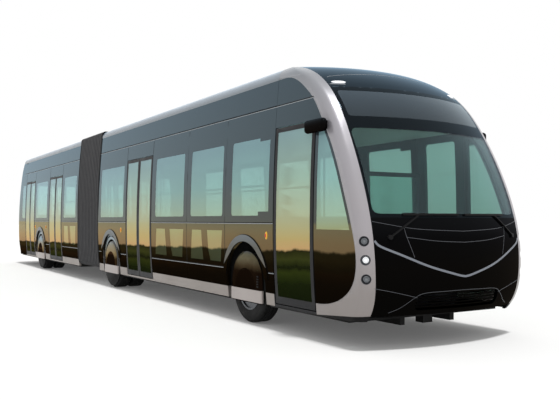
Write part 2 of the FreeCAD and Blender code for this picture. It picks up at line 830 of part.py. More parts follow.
def seat_unit(front_edge, floor, inner_y, facing=1):
    """A double seat on the left with cushion, back and pedestal; front_edge is the cushion's front."""
    shell = seat_shell
    base = floor + seat_height
    back = front_edge - facing * seat_depth
    top = base + seat_back_height
    outline = [(front_edge, base - shell), (front_edge, base), (back + facing * 20, base - 20),
               (back - facing * 80, top), (back - facing * (80 + shell), top - 10),
               (back - facing * shell, base - shell - 20)]
    shape = across(outline, inner_y, inner_y + seat_width)
    middle = front_edge - facing * seat_depth / 2
    leg = block(middle - seat_pedestal, middle + seat_pedestal, inner_y + 250, inner_y + 250 + seat_pedestal,
                floor, base - shell / 2 - 10)
    return fuse([shape, leg])


def wiper(skin, right, left, pivot_y):
    """A wiper that follows the nose: its blade between two y values and its arm down to a pivot."""
    side = LEFT if pivot_y > 0 else RIGHT
    meet = (right + left) / 2 + side * blade_length / 4
    blade = block(front_post, nose_x + 80, right, left, blade_bottom, blade_bottom + wiper_bar)
    arm_top = blade_bottom + wiper_bar / 2
    corners = [vec(front_post, meet, arm_top), vec(front_post, meet - side * arm_width, arm_top),
               vec(front_post, pivot_y - side * arm_width, arm_pivot_height),
               vec(front_post, pivot_y, arm_pivot_height)]
    arm = Part.Face(Part.makePolygon(corners + [corners[0]])).extrude(vec(nose_x + 80 - front_post, 0, 0))
    hub = cylinder(arm_width, vec(front_post, pivot_y - side * arm_width / 2, arm_pivot_height),
                   vec(nose_x + 80, pivot_y - side * arm_width / 2, arm_pivot_height))
    return skin.common(fuse([blade, arm, hub]))


def pole(x, y, bottom, top):
    """An upright grab pole."""
    return cylinder(pole_radius, vec(x, y, bottom), vec(x, y, top))


def ceiling_rail(rear, front, y, height):
    """A grab rail below the ceiling on its hangers."""
    pieces = [cylinder(pole_radius, vec(rear, y, height), vec(front, y, height))]
    count = max(2, round((front - rear) / hanger_spacing) + 1)
    end = 3 * pole_radius
    for index in range(count):
        x = rear + end + index * (front - rear - 2 * end) / (count - 1)
        pieces.append(cylinder(hanger_radius, vec(x, y, height), vec(x, y, ceiling_bottom)))
    return fuse(pieces)


def bellows():
    """The folded gaiter between the sections: roof and walls in one, with lips turned in below."""
    def ring(inset, overrun):
        half = body_half_width - inset
        low = bellows_bottom + inset
        sleeve = block(bay_5_front - overrun, bellows_front + overrun, -half, half, low, roof_height - inset)
        lengthwise = [e for e in sleeve.Edges if abs(e.tangentAt(e.FirstParameter).x) > 0.9]
        sleeve = sleeve.makeFillet(bellows_top_corner - inset,
                                   [e for e in lengthwise if e.CenterOfMass.z > belt_height])
        foot = [e for e in sleeve.Edges if e.CenterOfMass.z < low + 1 and abs(e.CenterOfMass.y) > half - 1]
        return sleeve.makeFillet(bellows_bottom_corner - inset, foot)
    gap = block(bay_5_front - 5, bellows_front + 5, -bellows_lip, bellows_lip, 0, bellows_bottom + 2 * bellows_wall)
    return ring(0, 0).cut(ring(bellows_wall, 5)).cut(gap)


def turntable():
    """The round floor over the joint, bridged to the front floor, with the pivot pin below it."""
    top = floor_top
    low = top - turntable_thickness
    disc = Part.makeCylinder(turntable_radius, turntable_thickness, vec(pivot_x, 0, low))
    bridge = block(pivot_x, bellows_front, -bridge_half_width, bridge_half_width, low, top)
    pin = Part.makeCylinder(pivot_radius, 150, vec(pivot_x, 0, low - 140))
    return fuse([disc, bridge, pin])


def rear_bridge():
    """The rear floor's tongue, its bearing ring and the plate that meets the round floor."""
    low = floor_top - turntable_thickness
    plate = block(bay_5_front, pivot_x, -bridge_half_width, bridge_half_width, low, floor_top)
    plate = plate.cut(Part.makeCylinder(turntable_radius + turntable_gap, 100, vec(pivot_x, 0, low - 20)))
    ring_top = low - 0.3
    ring_low = floor_top - floor_thickness - 55
    ring = Part.makeCylinder(bearing_radius, ring_top - ring_low, vec(pivot_x, 0, ring_low))
    tongue = block(bay_5_front, pivot_x, -bearing_radius + 60, bearing_radius - 60, ring_low, ring_top)
    tongue = tongue.cut(block(bay_5_front - 1, pivot_x - turntable_radius, -400, 400, low - 1, floor_top))
    support = block(bay_5_front, pivot_x - turntable_radius - 20, -bearing_radius + 60, bearing_radius - 60,
                    ring_low, low)
    body = fuse([plate, ring, tongue, support])
    return body.cut(Part.makeCylinder(pivot_radius + pivot_play, 400, vec(pivot_x, 0, ring_low - 100)))


os.makedirs("parts", exist_ok=True)
nodes = {}

# Front section: side walls, glass, sills and cantrails
hoop, mask, windscreen, dome, markers, upper_side, quarter, quarter_glass = build_nose()
right_bays = [
    bay(bay_2_front, bay_1_front, bay_1_margins, axle=axle_1),
    bay(bay_3_front, bay_2_front, bay_2_margins, lower=True),
    bay(door_2_front, bay_3_front, bay_3_margins, lower=True),
    bay(bellows_front, bay_4_front, bay_4_margins, axle=axle_2),
]
left_bays = right_bays + [bay(bay_1_front, front_post), bay(bay_4_front, door_2_front)]
front_walls = [mirrored(wall) for wall, panes in right_bays] + [wall for wall, panes in left_bays]
front_panes = [mirrored(pane) for wall, panes in right_bays for pane in panes]
front_panes += [pane for wall, panes in left_bays for pane in panes]
nodes["side_bays_front"] = group(front_walls + [quarter])
nodes["side_glass_front"] = group(front_panes + [quarter_glass])

front_sills = [sill(bay_3_front, bay_1_front, axle_1), sill(door_2_front, bay_3_front),
               sill(bellows_front, bay_4_front, axle_2)]
left_sills = [sill(bay_3_front, front_post, axle_1), sill(bay_4_front, bay_3_front),
              sill(bellows_front, bay_4_front, axle_2)]
front_thresholds = [threshold(bay_1_front, front_post), threshold(bay_4_front, door_2_front)]

# Rear section walls
rear_right_bays = [bay(door_3_front, bay_5_front, bay_5_margins, lower=True),
                   bay(door_4_front, bay_6_front, bay_6_margins, axle=axle_3)]
rear_left_bays = rear_right_bays + [bay(bay_6_front, door_3_front), bay(tail_front, door_4_front)]
rear_walls = [mirrored(wall) for wall, panes in rear_right_bays] + [wall for wall, panes in rear_left_bays]
rear_panes = [mirrored(pane) for wall, panes in rear_right_bays for pane in panes]
rear_panes += [pane for wall, panes in rear_left_bays for pane in panes]
rear_sills = [sill(door_3_front, bay_5_front), sill(door_4_front, bay_6_front, axle_3)]
rear_left_sills = [sill(bay_6_front, bay_5_front), sill(tail_front, bay_6_front, axle_3)]
rear_thresholds = [threshold(bay_6_front, door_3_front), threshold(tail_front, door_4_front)]

# Door leaves, each on a post beside its jamb
doors = {}
hinges = {}
doors["door_1_leaf"], hinges["door_1_leaf"] = door_leaf(bay_1_front + jamb_gap, front_post - jamb_gap, True)
for number, rear, front in ((2, bay_4_front, door_2_front), (3, bay_6_front, door_3_front),
                            (4, tail_front, door_4_front)):
    middle = (rear + front) / 2
    name = "door_%d_front_leaf" % number
    doors[name], hinges[name] = door_leaf(middle + leaf_gap / 2, front - jamb_gap, True)
    name = "door_%d_rear_leaf" % number
    doors[name], hinges[name] = door_leaf(rear + jamb_gap, middle - leaf_gap / 2, False)
nodes.update(doors)

sockets = {name: pin_sockets(x) for name, x in hinges.items()}
front_rails = both_sides(cantrail(bellows_front, bay_1_front - seam)) + [upper_side]
rear_rails = both_sides(cantrail(tail_front, bay_5_front))
cut_front = [sockets[name] for name in sockets if "door_1" in name or "door_2" in name]
cut_rear = [sockets[name] for name in sockets if "door_3" in name or "door_4" in name]
nodes["cantrail_front"] = group([cut_all(rail, cut_front) for rail in front_rails])
nodes["cantrail_rear"] = group([cut_all(rail, cut_rear) for rail in rear_rails])
nodes["sill_front"] = group([mirrored(s) for s in front_sills] + left_sills
                            + [cut_all(t, cut_front) for t in front_thresholds])
nodes["sill_rear"] = group([mirrored(s) for s in rear_sills] + rear_left_sills
                           + [cut_all(t, cut_rear) for t in rear_thresholds])

# Nose pieces
nodes["front_hoop"] = group([hoop])
nodes["front_mask"] = group([mask])
nodes["windscreen"] = group([windscreen])
nodes["roof_dome"] = group([dome])
nodes["lamps_front"] = group([lamp_unit(z, side) for side in (LEFT, RIGHT) for z in lamp_heights] + markers)

# Tail
tail_outer = tail_form(0)
tail_shell = tail_outer.cut(tail_form(cowl_thickness))
tail_window = block(tail_x - 10, tail_x + 700, -850, 850, 1600, 2560)
tail_window = tail_window.makeFillet(120, [e for e in tail_window.Edges
                                           if abs(e.tangentAt(e.FirstParameter).x) > 0.9])
tail_glass = tail_outer.cut(tail_form(pane_thickness)).common(tail_window)
corner_window = rounded_opening(tail_front - 500, tail_front - 80, window_bottom, window_top, window_corner,
                                -2 * body_half_width, 2 * body_half_width)
corner_glass = tail_outer.cut(tail_form(pane_thickness)).common(corner_window)
lamp_slot = block(tail_x - 10, tail_x + 300, 1010, 1010 + tail_lamp_width, 620, 620 + tail_lamp_height)
tail_lamp = tail_shell.common(lamp_slot)
tail_shell = cut_all(tail_shell, [tail_window, corner_window, lamp_slot, mirrored(lamp_slot)])
nodes["tail_shell"] = group([tail_shell])
nodes["tail_lamps"] = group(both_sides(tail_lamp))
nodes["side_bays_rear"] = group(rear_walls)
nodes["side_glass_rear"] = group(rear_panes + [tail_glass, corner_glass])

# Roofs, ceilings and roof packs
nodes["roof_cowl_front"] = cowl(bellows_front, bay_1_front)
nodes["roof_cowl_rear"] = cowl(tail_front, bay_5_front)
ceiling_low = ceiling_bottom
nodes["ceiling_front"] = block(bellows_front, front_post, -rail_inner, rail_inner, ceiling_low,
                               ceiling_low + ceiling_thickness)
nodes["ceiling_rear"] = block(tail_front, bay_5_front, -rail_inner, rail_inner, ceiling_low,
                              ceiling_low + ceiling_thickness)
pack_low = ceiling_low + ceiling_thickness
nodes["battery_pack_front"] = block(axle_2 + 700, axle_2 + 700 + pack_length, -pack_half_width,
                                    pack_half_width, pack_low, pack_low + pack_height)
nodes["battery_pack_rear"] = block(axle_3 - 1200, axle_3 - 1200 + pack_length, -pack_half_width,
                                   pack_half_width, pack_low, pack_low + pack_height)

# Floors and wells
floor_nose = front_post + floor_overrun
front_pan = floor_pan(bellows_front, floor_nose, [(axle_1, front_well_inner), (axle_2, rear_well_inner)])
tow_block = block(floor_nose - tow_block_length, floor_nose, -tow_block_half_width, tow_block_half_width,
                  floor_top - floor_thickness - rail_depth, floor_top - floor_thickness)
tow_bore = Part.makeCylinder(tow_bore_radius, rail_depth + 1,
                             vec(floor_nose - tow_bore_setback, 0, floor_top - floor_thickness - rail_depth - 1))
nodes["floor_front"] = fuse([front_pan, tow_block]).cut(tow_bore)
nodes["floor_rear"] = floor_pan(tail_x + tail_floor_gap, bay_5_front, [(axle_3, rear_well_inner)])
nodes["arch_trim_front"] = group(both_sides(arch_lip(axle_1)) + both_sides(arch_lip(axle_2))
                                 + both_sides(fixed_cover(axle_2)))
nodes["arch_trim_rear"] = group(both_sides(arch_lip(axle_3)) + both_sides(fixed_cover(axle_3)))

# Axles, knuckles and wheels
nodes["front_axle"] = front_beam()
nodes["middle_axle"] = portal_axle(axle_2)
nodes["drive_axle"] = portal_axle(axle_3, motor=True)
for side, word in ((LEFT, "left"), (RIGHT, "right")):
    nodes["knuckle_" + word] = knuckle(side)
    nodes["tyre_front_" + word] = on_side(tyre(axle_1, inner_wheel_face, wheel_face), side)
    nodes["rim_front_" + word] = on_side(rim(axle_1, inner_wheel_face, wheel_face, wheel_face - 30), side)
    for axle, place in ((axle_2, "middle"), (axle_3, "rear")):
        pair = [tyre(axle, inner_wheel_face, wheel_face),
                tyre(axle, twin_inner_face, twin_inner_face + tyre_width)]
        nodes["tyres_%s_%s" % (place, word)] = group([on_side(t, side) for t in pair])
        nodes["rims_%s_%s" % (place, word)] = on_side(twin_rim(axle), side)

# Articulation
nodes["bellows"] = bellows()
nodes["turntable"] = turntable()
nodes["turntable_bearing"] = rear_bridge()

# Fittings of the front section
rows = [bay_2_front - 60 - index * seat_pitch for index in range(4)]
wall_y = floor_half_width - 15 - seat_width
front_seats = []
for row in rows:
    front_seats += both_sides(seat_unit(row, floor_top, wall_y))
driver_seat = seat_unit(front_post + 10, floor_top, 480).common(block(0, nose_x, 480, 1000, 0, 2000))
nodes["seats_front"] = group(front_seats + [driver_seat])
rear_rows = [bay_5_front - 120 - index * seat_pitch for index in range(2)]
rear_seats = []
for row in rear_rows:
    rear_seats += both_sides(seat_unit(row, floor_top, wall_y))
nodes["seats_rear"] = group(rear_seats + both_sides(seat_unit(tail_front - 200, floor_top, 120)))

rail_y = 420
nodes["handrails_front"] = group(
    both_sides(ceiling_rail(bellows_front + 200, bay_2_front, rail_y, 1960))
    + both_sides(pole(bay_2_front - 20, rail_y + 90, floor_top, ceiling_low))
    + both_sides(pole(door_2_front + 45, rail_y + 90, floor_top, ceiling_low))
    + both_sides(pole(bay_4_front - 60, rail_y + 90, floor_top, ceiling_low)))
nodes["handrails_rear"] = group(
    both_sides(ceiling_rail(tail_front + 200, bay_5_front - 200, rail_y, 1960))
    + both_sides(pole(bay_5_front - 40, rail_y + 90, floor_top, ceiling_low))
    + both_sides(pole(bay_6_front - 60, rail_y + 90, floor_top, ceiling_low))
    + both_sides(pole(tail_front + 60, rail_y + 90, floor_top, ceiling_low)))

dash = across([(front_post + 330, 1000), (nose_x - 330, 1000), (nose_x - 420, 1330), (front_post + 420, 1180)],
              -950, 950)
dash_foot = block(front_post + 340, floor_nose, -500, 500, floor_top, 1010)
partition = block(bay_1_front + 60, bay_1_front + 90, 180, 1180, floor_top, 2100)
column = cylinder(28, vec(front_post + 450, 740, 1080), vec(front_post + 330, 740, 1300))
wheel_ring = Part.makeTorus(230, 15, vec(front_post + 330, 740, 1300), vec(-0.45, 0, 0.9))
wheel_bar = cylinder(12, vec(front_post + 330, 515, 1300), vec(front_post + 330, 965, 1300))
nodes["driver_cab"] = group([fuse([dash, dash_foot, column, wheel_ring, wheel_bar]), partition])

pod_foot = half_width(pod_bottom) - pod_radius
pod = block(front_post + pod_setback, front_post + pod_setback + pod_length, pod_foot,
            half_width(pod_bottom) + pod_width, pod_bottom, pod_bottom + pod_height)
pod = pod.makeFillet(pod_radius, [e for e in pod.Edges if e.CenterOfMass.y > pod_foot + 1])
nodes["camera_pods"] = group(both_sides(pod.cut(nose_form(-seat_clearance))))

wiper_skin = nose_form(-wiper_bar).cut(nose_form(-seat_clearance))
blade_far = blade_gap + blade_length
nodes["wipers"] = group([wiper(wiper_skin, -blade_far, -blade_gap, -blade_far - arm_reach),
                         wiper(wiper_skin, blade_gap, blade_far, blade_far + arm_reach)])

for name, shape in nodes.items():
    shape.exportStep("parts/%s.step" % name)
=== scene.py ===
"""Looks of an articulated city bus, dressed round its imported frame: finishes, trim, tyres, bellows, stage."""

import logging
import math
from dataclasses import dataclass
from enum import Enum
from typing import Callable, Dict, List, Optional, Sequence, Tuple

import bmesh
import bpy
from bmesh.types import BMesh, BMVert
from bpy.types import NodeSocket
from mathutils import Matrix, Vector
from mathutils.bvhtree import BVHTree


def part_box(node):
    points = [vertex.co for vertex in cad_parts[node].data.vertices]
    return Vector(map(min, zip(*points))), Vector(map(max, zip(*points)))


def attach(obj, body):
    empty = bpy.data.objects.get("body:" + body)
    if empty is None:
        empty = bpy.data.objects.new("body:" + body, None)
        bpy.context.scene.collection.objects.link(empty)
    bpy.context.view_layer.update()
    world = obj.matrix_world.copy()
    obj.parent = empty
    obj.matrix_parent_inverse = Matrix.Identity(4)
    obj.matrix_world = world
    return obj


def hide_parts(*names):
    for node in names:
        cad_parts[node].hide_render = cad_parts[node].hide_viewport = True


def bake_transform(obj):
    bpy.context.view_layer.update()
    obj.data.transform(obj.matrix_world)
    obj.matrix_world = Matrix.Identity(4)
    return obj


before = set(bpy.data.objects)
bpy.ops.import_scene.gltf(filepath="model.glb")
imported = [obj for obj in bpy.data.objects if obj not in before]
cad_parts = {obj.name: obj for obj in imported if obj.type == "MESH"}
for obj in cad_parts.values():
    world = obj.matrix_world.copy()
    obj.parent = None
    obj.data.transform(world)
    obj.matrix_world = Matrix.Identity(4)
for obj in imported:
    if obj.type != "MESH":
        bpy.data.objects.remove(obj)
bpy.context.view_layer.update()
NODES: Dict[str, bpy.types.Object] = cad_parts
LOG = logging.getLogger("bus")

FRONT = "front_section"
REAR = "rear_section"
MM = 0.001
LINE_THICK = 1.2 * MM

# The body's side: half its width at the belt, and the radii it is drawn in by above and below
HALF_WIDTH = 1.275
BELT = 1.250
UPPER_RADIUS = 20.0
LOWER_RADIUS = 9.6
# Where the steered, the middle and the driven axle lie
AXLES = (6.495, 0.595, -5.955)
# Wheel arches: half their width, their crown, where their round part starts, and the lip round them
ARCH_HALF = 0.545
ARCH_TOP = 1.128
ARCH_LEVEL = ARCH_TOP - ARCH_HALF
ARCH_LIP = 0.092
# The gap between a door leaf and its jamb
JAMB_GAP = 0.020
# The quarter panes beside the nose: where they start, and the seam across their foot
QUARTER_REAR = 8.199
QUARTER_SEAM = 1.315
# How high hills and leaves stand in the painted reflections, and how their painted horizon drops towards the
# tail
HILL_HEIGHT = 0.16
LEAF_HEIGHT = 0.05
HORIZON_SLOPE = 0.0185

Point2 = Tuple[float, float]
Path = List[Tuple[Vector, Vector]]
Plane = Tuple[Vector, Vector]
# From the ground up: height in metres, sRGB colour and, where it isn't 1, a share
Stops = Tuple[tuple, ...]


class Side(Enum):
    """A side of the bus, by the sign of y."""

    LEFT = 1
    RIGHT = -1


def linear(code: str) -> Tuple[float, float, float, float]:
    """Turn an sRGB hex colour into linear RGBA."""
    parts = [int(code[start:start + 2], 16) / 255 for start in (1, 3, 5)]
    return tuple(c / 12.92 if c <= 0.04045 else ((c + 0.055) / 1.055) ** 2.4 for c in parts) + (1.0,)


class Graph:
    """The node tree of a material or a world, with short calls for the nodes that are used most."""

    def __init__(self, owner: bpy.types.ID) -> None:
        """Start on the owner's own tree."""
        owner.use_nodes = True
        self.tree = owner.node_tree

    def fill(self, node: bpy.types.Node, inputs: dict) -> bpy.types.Node:
        """Give a node its inputs: values, or sockets to link from, by input name or number."""
        for key, value in inputs.items():
            if isinstance(value, NodeSocket):
                self.tree.links.new(value, node.inputs[key])
            else:
                node.inputs[key].default_value = value
        return node

    def add(self, kind: str, inputs: Optional[dict] = None, **settings) -> bpy.types.Node:
        """Add a shader node of a kind, with its inputs and its own settings."""
        node = self.tree.nodes.new("ShaderNode" + kind)
        for name, value in settings.items():
            setattr(node, name, value)
        return self.fill(node, inputs or {})

    def shader(self, inputs: dict) -> NodeSocket:
        """Fill the inputs of the tree's Principled BSDF."""
        return self.fill(self.tree.nodes["Principled BSDF"], inputs).outputs["BSDF"]

    def show(self, shader: NodeSocket) -> None:
        """Make a shader the surface."""
        self.fill(self.tree.nodes["Material Output"], {"Surface": shader})

    def place(self) -> NodeSocket:
        """The Object coordinates."""
        return self.add("TexCoord").outputs["Object"]

    def noise(self, place: NodeSocket, scale: float, detail: float, rough: float = 0.5) -> NodeSocket:
        """Noise of a scale, from 0 to 1."""
        return self.add("TexNoise", {"Vector": place, "Scale": scale, "Detail": detail,
                                     "Roughness": rough}).outputs["Fac"]

    def calculate(self, operation: str, *values) -> NodeSocket:
        """The result of one operation on values or sockets."""
        return self.add("Math", dict(enumerate(values)), operation=operation).outputs["Value"]

    def spread(self, value: NodeSocket, low: float, high: float, start: float = 0.0,
               end: float = 1.0) -> NodeSocket:
        """Map the range from low to high to the range from start to end."""
        return self.add("MapRange", {"Value": value, "From Min": low, "From Max": high, "To Min": start,
                                     "To Max": end}).outputs["Result"]

    def mixed(self, share, first: NodeSocket, second: NodeSocket) -> NodeSocket:
        """Mix two shaders, with a share of the second."""
        return self.add("MixShader", {0: share, 1: first, 2: second}).outputs["Shader"]

    def rolling_height(self, place: NodeSocket) -> NodeSocket:
        """Height above the ground, uneven below the belt, so that the painted reflections show hills in glass
        and paint.
        """
        parts = self.add("SeparateXYZ", {"Vector": place}).outputs
        along = self.add("CombineXYZ", {"X": parts["X"], "Y": parts["Y"]}).outputs["Vector"]
        hill = self.calculate("MULTIPLY_ADD", self.noise(along, 1.1, 5.0, 0.6), -HILL_HEIGHT, HILL_HEIGHT / 2)
        leaf = self.calculate("MULTIPLY_ADD", self.noise(place, 9.0, 4.0), -LEAF_HEIGHT, hill)
        slope = self.calculate("MULTIPLY_ADD", parts["X"], -HORIZON_SLOPE, leaf)
        fade = self.spread(parts["Z"], 1.15, 1.35, 1.0, 0.0)
        return self.calculate("MULTIPLY_ADD", slope, fade, parts["Z"])

    def ramp(self, height: NodeSocket, stops: Stops) -> bpy.types.bpy_prop_collection:
        """Colour a surface by its height, and hand back the ramp's outputs, Color and the share as Alpha."""
        top = stops[-1][0]
        node = self.add("ValToRGB", {"Fac": self.spread(height, 0.0, top)})
        elements = node.color_ramp.elements
        while len(elements) < len(stops):
            elements.new(1.0)
        for element, (level, code, *share) in zip(elements, stops):
            element.position = level / top
            element.color = linear(code)[:3] + tuple(share or (1.0,))
        return node.outputs


@dataclass(frozen=True)
class Surface:
    """What all finishes share: the material's name, and one material built when it is first asked for."""

    title: str

    def material(self) -> bpy.types.Material:
        """Build the material once, and hand out the same one after that."""
        material = bpy.data.materials.get(self.title)
        if material is None:
            material = bpy.data.materials.new(self.title)
            self.shade(Graph(material))
        return material

    def shade(self, graph: Graph) -> None:
        """Draw the material's nodes."""
        raise NotImplementedError(self.title)


@dataclass(frozen=True)
class Finish(Surface):
    """An opaque finish whose patches and grain follow Object coordinates.

    Attributes:
        colour: sRGB colour of the clean surface.
        patch: sRGB colour that larger patches lean to, as dust and fading give.
        patch_mm: Size of those patches.
        rough: Lowest and highest roughness over the patches.
        grain_mm: Size of the grain that the bump shows.
        grain_depth_mm: Depth of that grain.
        metallic: How much of a metal it is.
        specular: Strength of its plain reflection.
        coat: Weight of a clear coat.
        sheen: Weight of cloth's soft edge light.
        glow: Strength of its own light.
        heights: Height in metres and colour, where the colour changes up the body; where it is given, it paints
            in reflected sky and earth.
    """

    colour: str
    patch: str
    patch_mm: float
    rough: Tuple[float, float]
    grain_mm: float
    grain_depth_mm: float
    metallic: float = 0.0
    specular: float = 0.5
    coat: float = 0.0
    sheen: float = 0.0
    glow: float = 0.0
    heights: Stops = ()

    def shade(self, graph: Graph) -> None:
        """Draw colour and roughness in patches, and the grain as a bump."""
        place = graph.place()
        patches = graph.noise(place, 1000 / self.patch_mm, 3.0)
        grain = graph.noise(place, 1000 / self.grain_mm, 2.0)
        base = linear(self.colour)
        if self.heights:
            height = graph.add("SeparateXYZ", {"Vector": place}).outputs["Z"]
            base = graph.ramp(height, self.heights)["Color"]
        weight = graph.spread(patches, 0.35, 0.75, 0.0, 0.3)
        colour = graph.add("Mix", {0: weight, 6: base, 7: linear(self.patch)}, data_type="RGBA")
        rough = graph.spread(patches, 0.3, 0.7, *self.rough)
        bump = graph.add("Bump", {"Height": grain, "Distance": self.grain_depth_mm * MM, "Strength": 1.0})
        graph.shader({"Base Color": colour.outputs[2], "Roughness": rough, "Normal": bump.outputs["Normal"],
                      "Metallic": self.metallic, "Specular IOR Level": self.specular,
                      "Coat Weight": self.coat, "Coat Roughness": 0.04, "Sheen Weight": self.sheen})
        if self.glow:
            graph.shader({"Emission Color": linear(self.colour), "Emission Strength": self.glow})


@dataclass(frozen=True)
class Lacquer(Surface):
    """Gloss lacquer on a smooth moulding: a dark ground under a clear skin, both coloured by height with
    painted reflections of sky and earth.

    Attributes:
        ground: Colours of the ground by height: near black, with painted reflections of sky and earth on most
            finishes.
        mirrored: Tints of the skin's reflection by height, a painted reflection of sky and earth.
        rough: Roughness of the skin.
        ior: Refractive index of the skin.
    """

    ground: Stops
    mirrored: Stops
    rough: float = 0.05
    ior: float = 1.5

    def shade(self, graph: Graph) -> None:
        """Lay a skin with a little orange peel, tinted by height as a painted reflection, over the ground."""
        place = graph.place()
        height = graph.rolling_height(place)
        peel = graph.add("Bump", {"Height": graph.noise(place, 140.0, 1.0), "Distance": 0.002 * MM})
        normal = peel.outputs["Normal"]
        ground = graph.shader({"Base Color": graph.ramp(height, self.ground)["Color"], "Normal": normal,
                               "Roughness": 0.5, "Specular IOR Level": 0.0})
        gloss = graph.add("BsdfGlossy", {"Color": graph.ramp(height, self.mirrored)["Color"],
                                         "Roughness": self.rough, "Normal": normal})
        skin = graph.add("Fresnel", {"IOR": self.ior, "Normal": normal})
        graph.show(graph.mixed(skin.outputs["Fac"], ground, gloss.outputs["BSDF"]))


@dataclass(frozen=True)
class Glazing(Surface):
    """Tinted float glass: a see-through sheet with a bright skin, mixed by height with a painted reflection
    layer of sky and earth.

    Attributes:
        tint: sRGB colour of what one face lets through.
        painted_reflection_layer: Colours and shares by height of a diffuse layer that paints in reflected sky
            and earth.
        mirrored: Tints of the skin's reflection by height, a painted reflection of sky and earth.
    """

    tint: str
    painted_reflection_layer: Stops
    mirrored: Stops

    def shade(self, graph: Graph) -> None:
        """Mix the painted reflection layer and clear glass under a skin that shines more the steeper it is
        looked at.
        """
        height = graph.rolling_height(graph.place())
        # The diffuse layer's colours and shares by height paint in reflected sky and earth
        ramp = graph.ramp(height, self.painted_reflection_layer)
        painted_reflection_layer = graph.shader({"Base Color": ramp["Color"], "Roughness": 0.4, "Specular IOR Level": 0.0})
        clear = graph.add("BsdfTransparent", {"Color": linear(self.tint)}).outputs["BSDF"]
        gloss = graph.add("BsdfGlossy", {"Color": graph.ramp(height, self.mirrored)["Color"],
                                         "Roughness": 0.02}).outputs["BSDF"]
        facing = graph.add("LayerWeight", {"Blend": 0.5}).outputs["Facing"]
        skin = graph.calculate("MULTIPLY_ADD", graph.calculate("POWER", facing, 5.0), 0.96, 0.04)
        graph.show(graph.mixed(skin, graph.mixed(ramp["Alpha"], clear, painted_reflection_layer), gloss))


# Painted reflection by height: sky over the belt, a warm low sky under it, and dark earth with hedges below the
# horizon
SKY = (
    (0.00, "#120d07"), (0.50, "#1f160b"), (0.62, "#3a2612"), (0.68, "#2a2010"), (0.78, "#4a3a1e"),
    (0.86, "#3a341c"), (0.89, "#e6b88a"), (1.10, "#f0cc98"), (1.36, "#e6dab0"), (1.40, "#dde2d8"),
    (2.20, "#d6ecf4"), (3.40, "#cce8fa"))
# Painted reflection of a plain pale sky, the same at every height
SKY_ALONE = ((0.0, "#e4f2fa"), (3.4, "#e4f2fa"))
# Acrylic enamel sprayed over panels under a clear coat: deep black, with a painted reflection by height in both
# its colour and its reflection tint: dark earth below, warm tan round the belt, blue-grey sky above
PANEL = Lacquer("black_enamel_sprayed", (
    (0.00, "#0b0805"), (0.60, "#120d07"), (0.86, "#1e1a0e"), (0.89, "#6a5c40"), (1.36, "#645f48"),
    (1.40, "#3e403c"), (2.00, "#343b3f"), (3.40, "#303940")), SKY)
# The same enamel on the mask, polished flat, so that it stays near black; its dim reflection tints by height
# are a painted reflection, warm and dark low down, grey-blue higher up
MASK = Lacquer("black_enamel_polished", ((0.00, "#050505"), (1.50, "#070708")), (
    (0.00, "#2a2620"), (0.70, "#3a342c"), (1.10, "#3c3c3e"), (1.50, "#5c5f64")))
# The roof dome in the same enamel, with a painted reflection of open sky: a blue tint that turns lighter at the
# top
DOME = Lacquer("black_enamel_domed", ((0.00, "#0a0d10"), (3.40, "#10161b")), (
    (0.00, "#8fa8bc"), (3.00, "#8fa8bc"), (3.40, "#b4d4ee")))
# Wheel covers moulded in gloss black, with painted reflections laid in their colours and reflection tints by
# height: sky on the crown, a low sun's band, dark earth at the foot
COVER_FRONT = Lacquer("black_polycarbonate_domed", (
    (0.00, "#120b08"), (0.58, "#1c120c"), (0.66, "#4e4230"), (0.76, "#68624e"), (0.82, "#5c5c4e"),
    (0.86, "#333a44"), (0.90, "#33405a"), (0.96, "#4a6484")), (
    (0.00, "#1e1610"), (0.66, "#332616"), (0.80, "#b4a684"), (0.96, "#c8dcf0")))
# The rear covers: the same painted reflections, with a brighter band of low sun and a grey-blue crown
COVER_REAR = Lacquer("black_polycarbonate_polished", (
    (0.00, "#140e08"), (0.56, "#2a2014"), (0.64, "#7a6a4a"), (0.86, "#8a8060"), (0.96, "#8fa0a0")), (
    (0.00, "#2a1a10"), (0.60, "#6a5030"), (0.70, "#d8b888"), (0.96, "#c8dcf0")))
# The covers' flatter cores: a painted reflection of the dark ground, with one painted warm glint across them
COVER_CORE = Lacquer("black_polycarbonate_flat", (
    (0.00, "#0e0906"), (0.65, "#140d08"), (0.69, "#48301f"), (0.71, "#3c281a"), (0.73, "#140e0a"),
    (0.96, "#140e0a")), ((0.00, "#1c120a"), (0.66, "#2e1e12"), (0.96, "#3a3024")))
# Camera pods moulded in gloss black, with a painted reflection by height: dark and warm low down, a bright
# grey-blue band near their top
POD = Lacquer("black_polycarbonate_cast", ((0.0, "#060606"), (3.0, "#070708")), (
    (0.0, "#2a221c"), (2.45, "#3a2c22"), (2.52, "#4a4440"), (2.60, "#76828c")))
# Ceramic border print on the windscreen: near black, glass-smooth outside; its reflection is tinted grey-blue,
# lighter higher up, as a painted sky
FRIT = Lacquer("ceramic_frit_fired", ((0.0, "#08090a"), (3.4, "#0a0c0e")), (
    (0.0, "#6a747c"), (3.4, "#9ab0c0")), ior=1.4)
# Aluminium-flake paint under a clear coat: bright, satin; its colour by height is painted reflection and shade,
# a little warm and darker low down, darker and bluer near the roof
SILVER = Finish("silver_flake_paint_sprayed", "#b9b6ba", "#a9a5a6", 600, (0.30, 0.40), 2, 0.006, metallic=0.2,
                coat=0.25, heights=((0.0, "#807873"), (0.6, "#938b88"), (1.3, "#a7a2a6"), (2.6, "#a3a1a7"),
                                    (3.2, "#8b8e94"), (3.4, "#9aa2aa")))
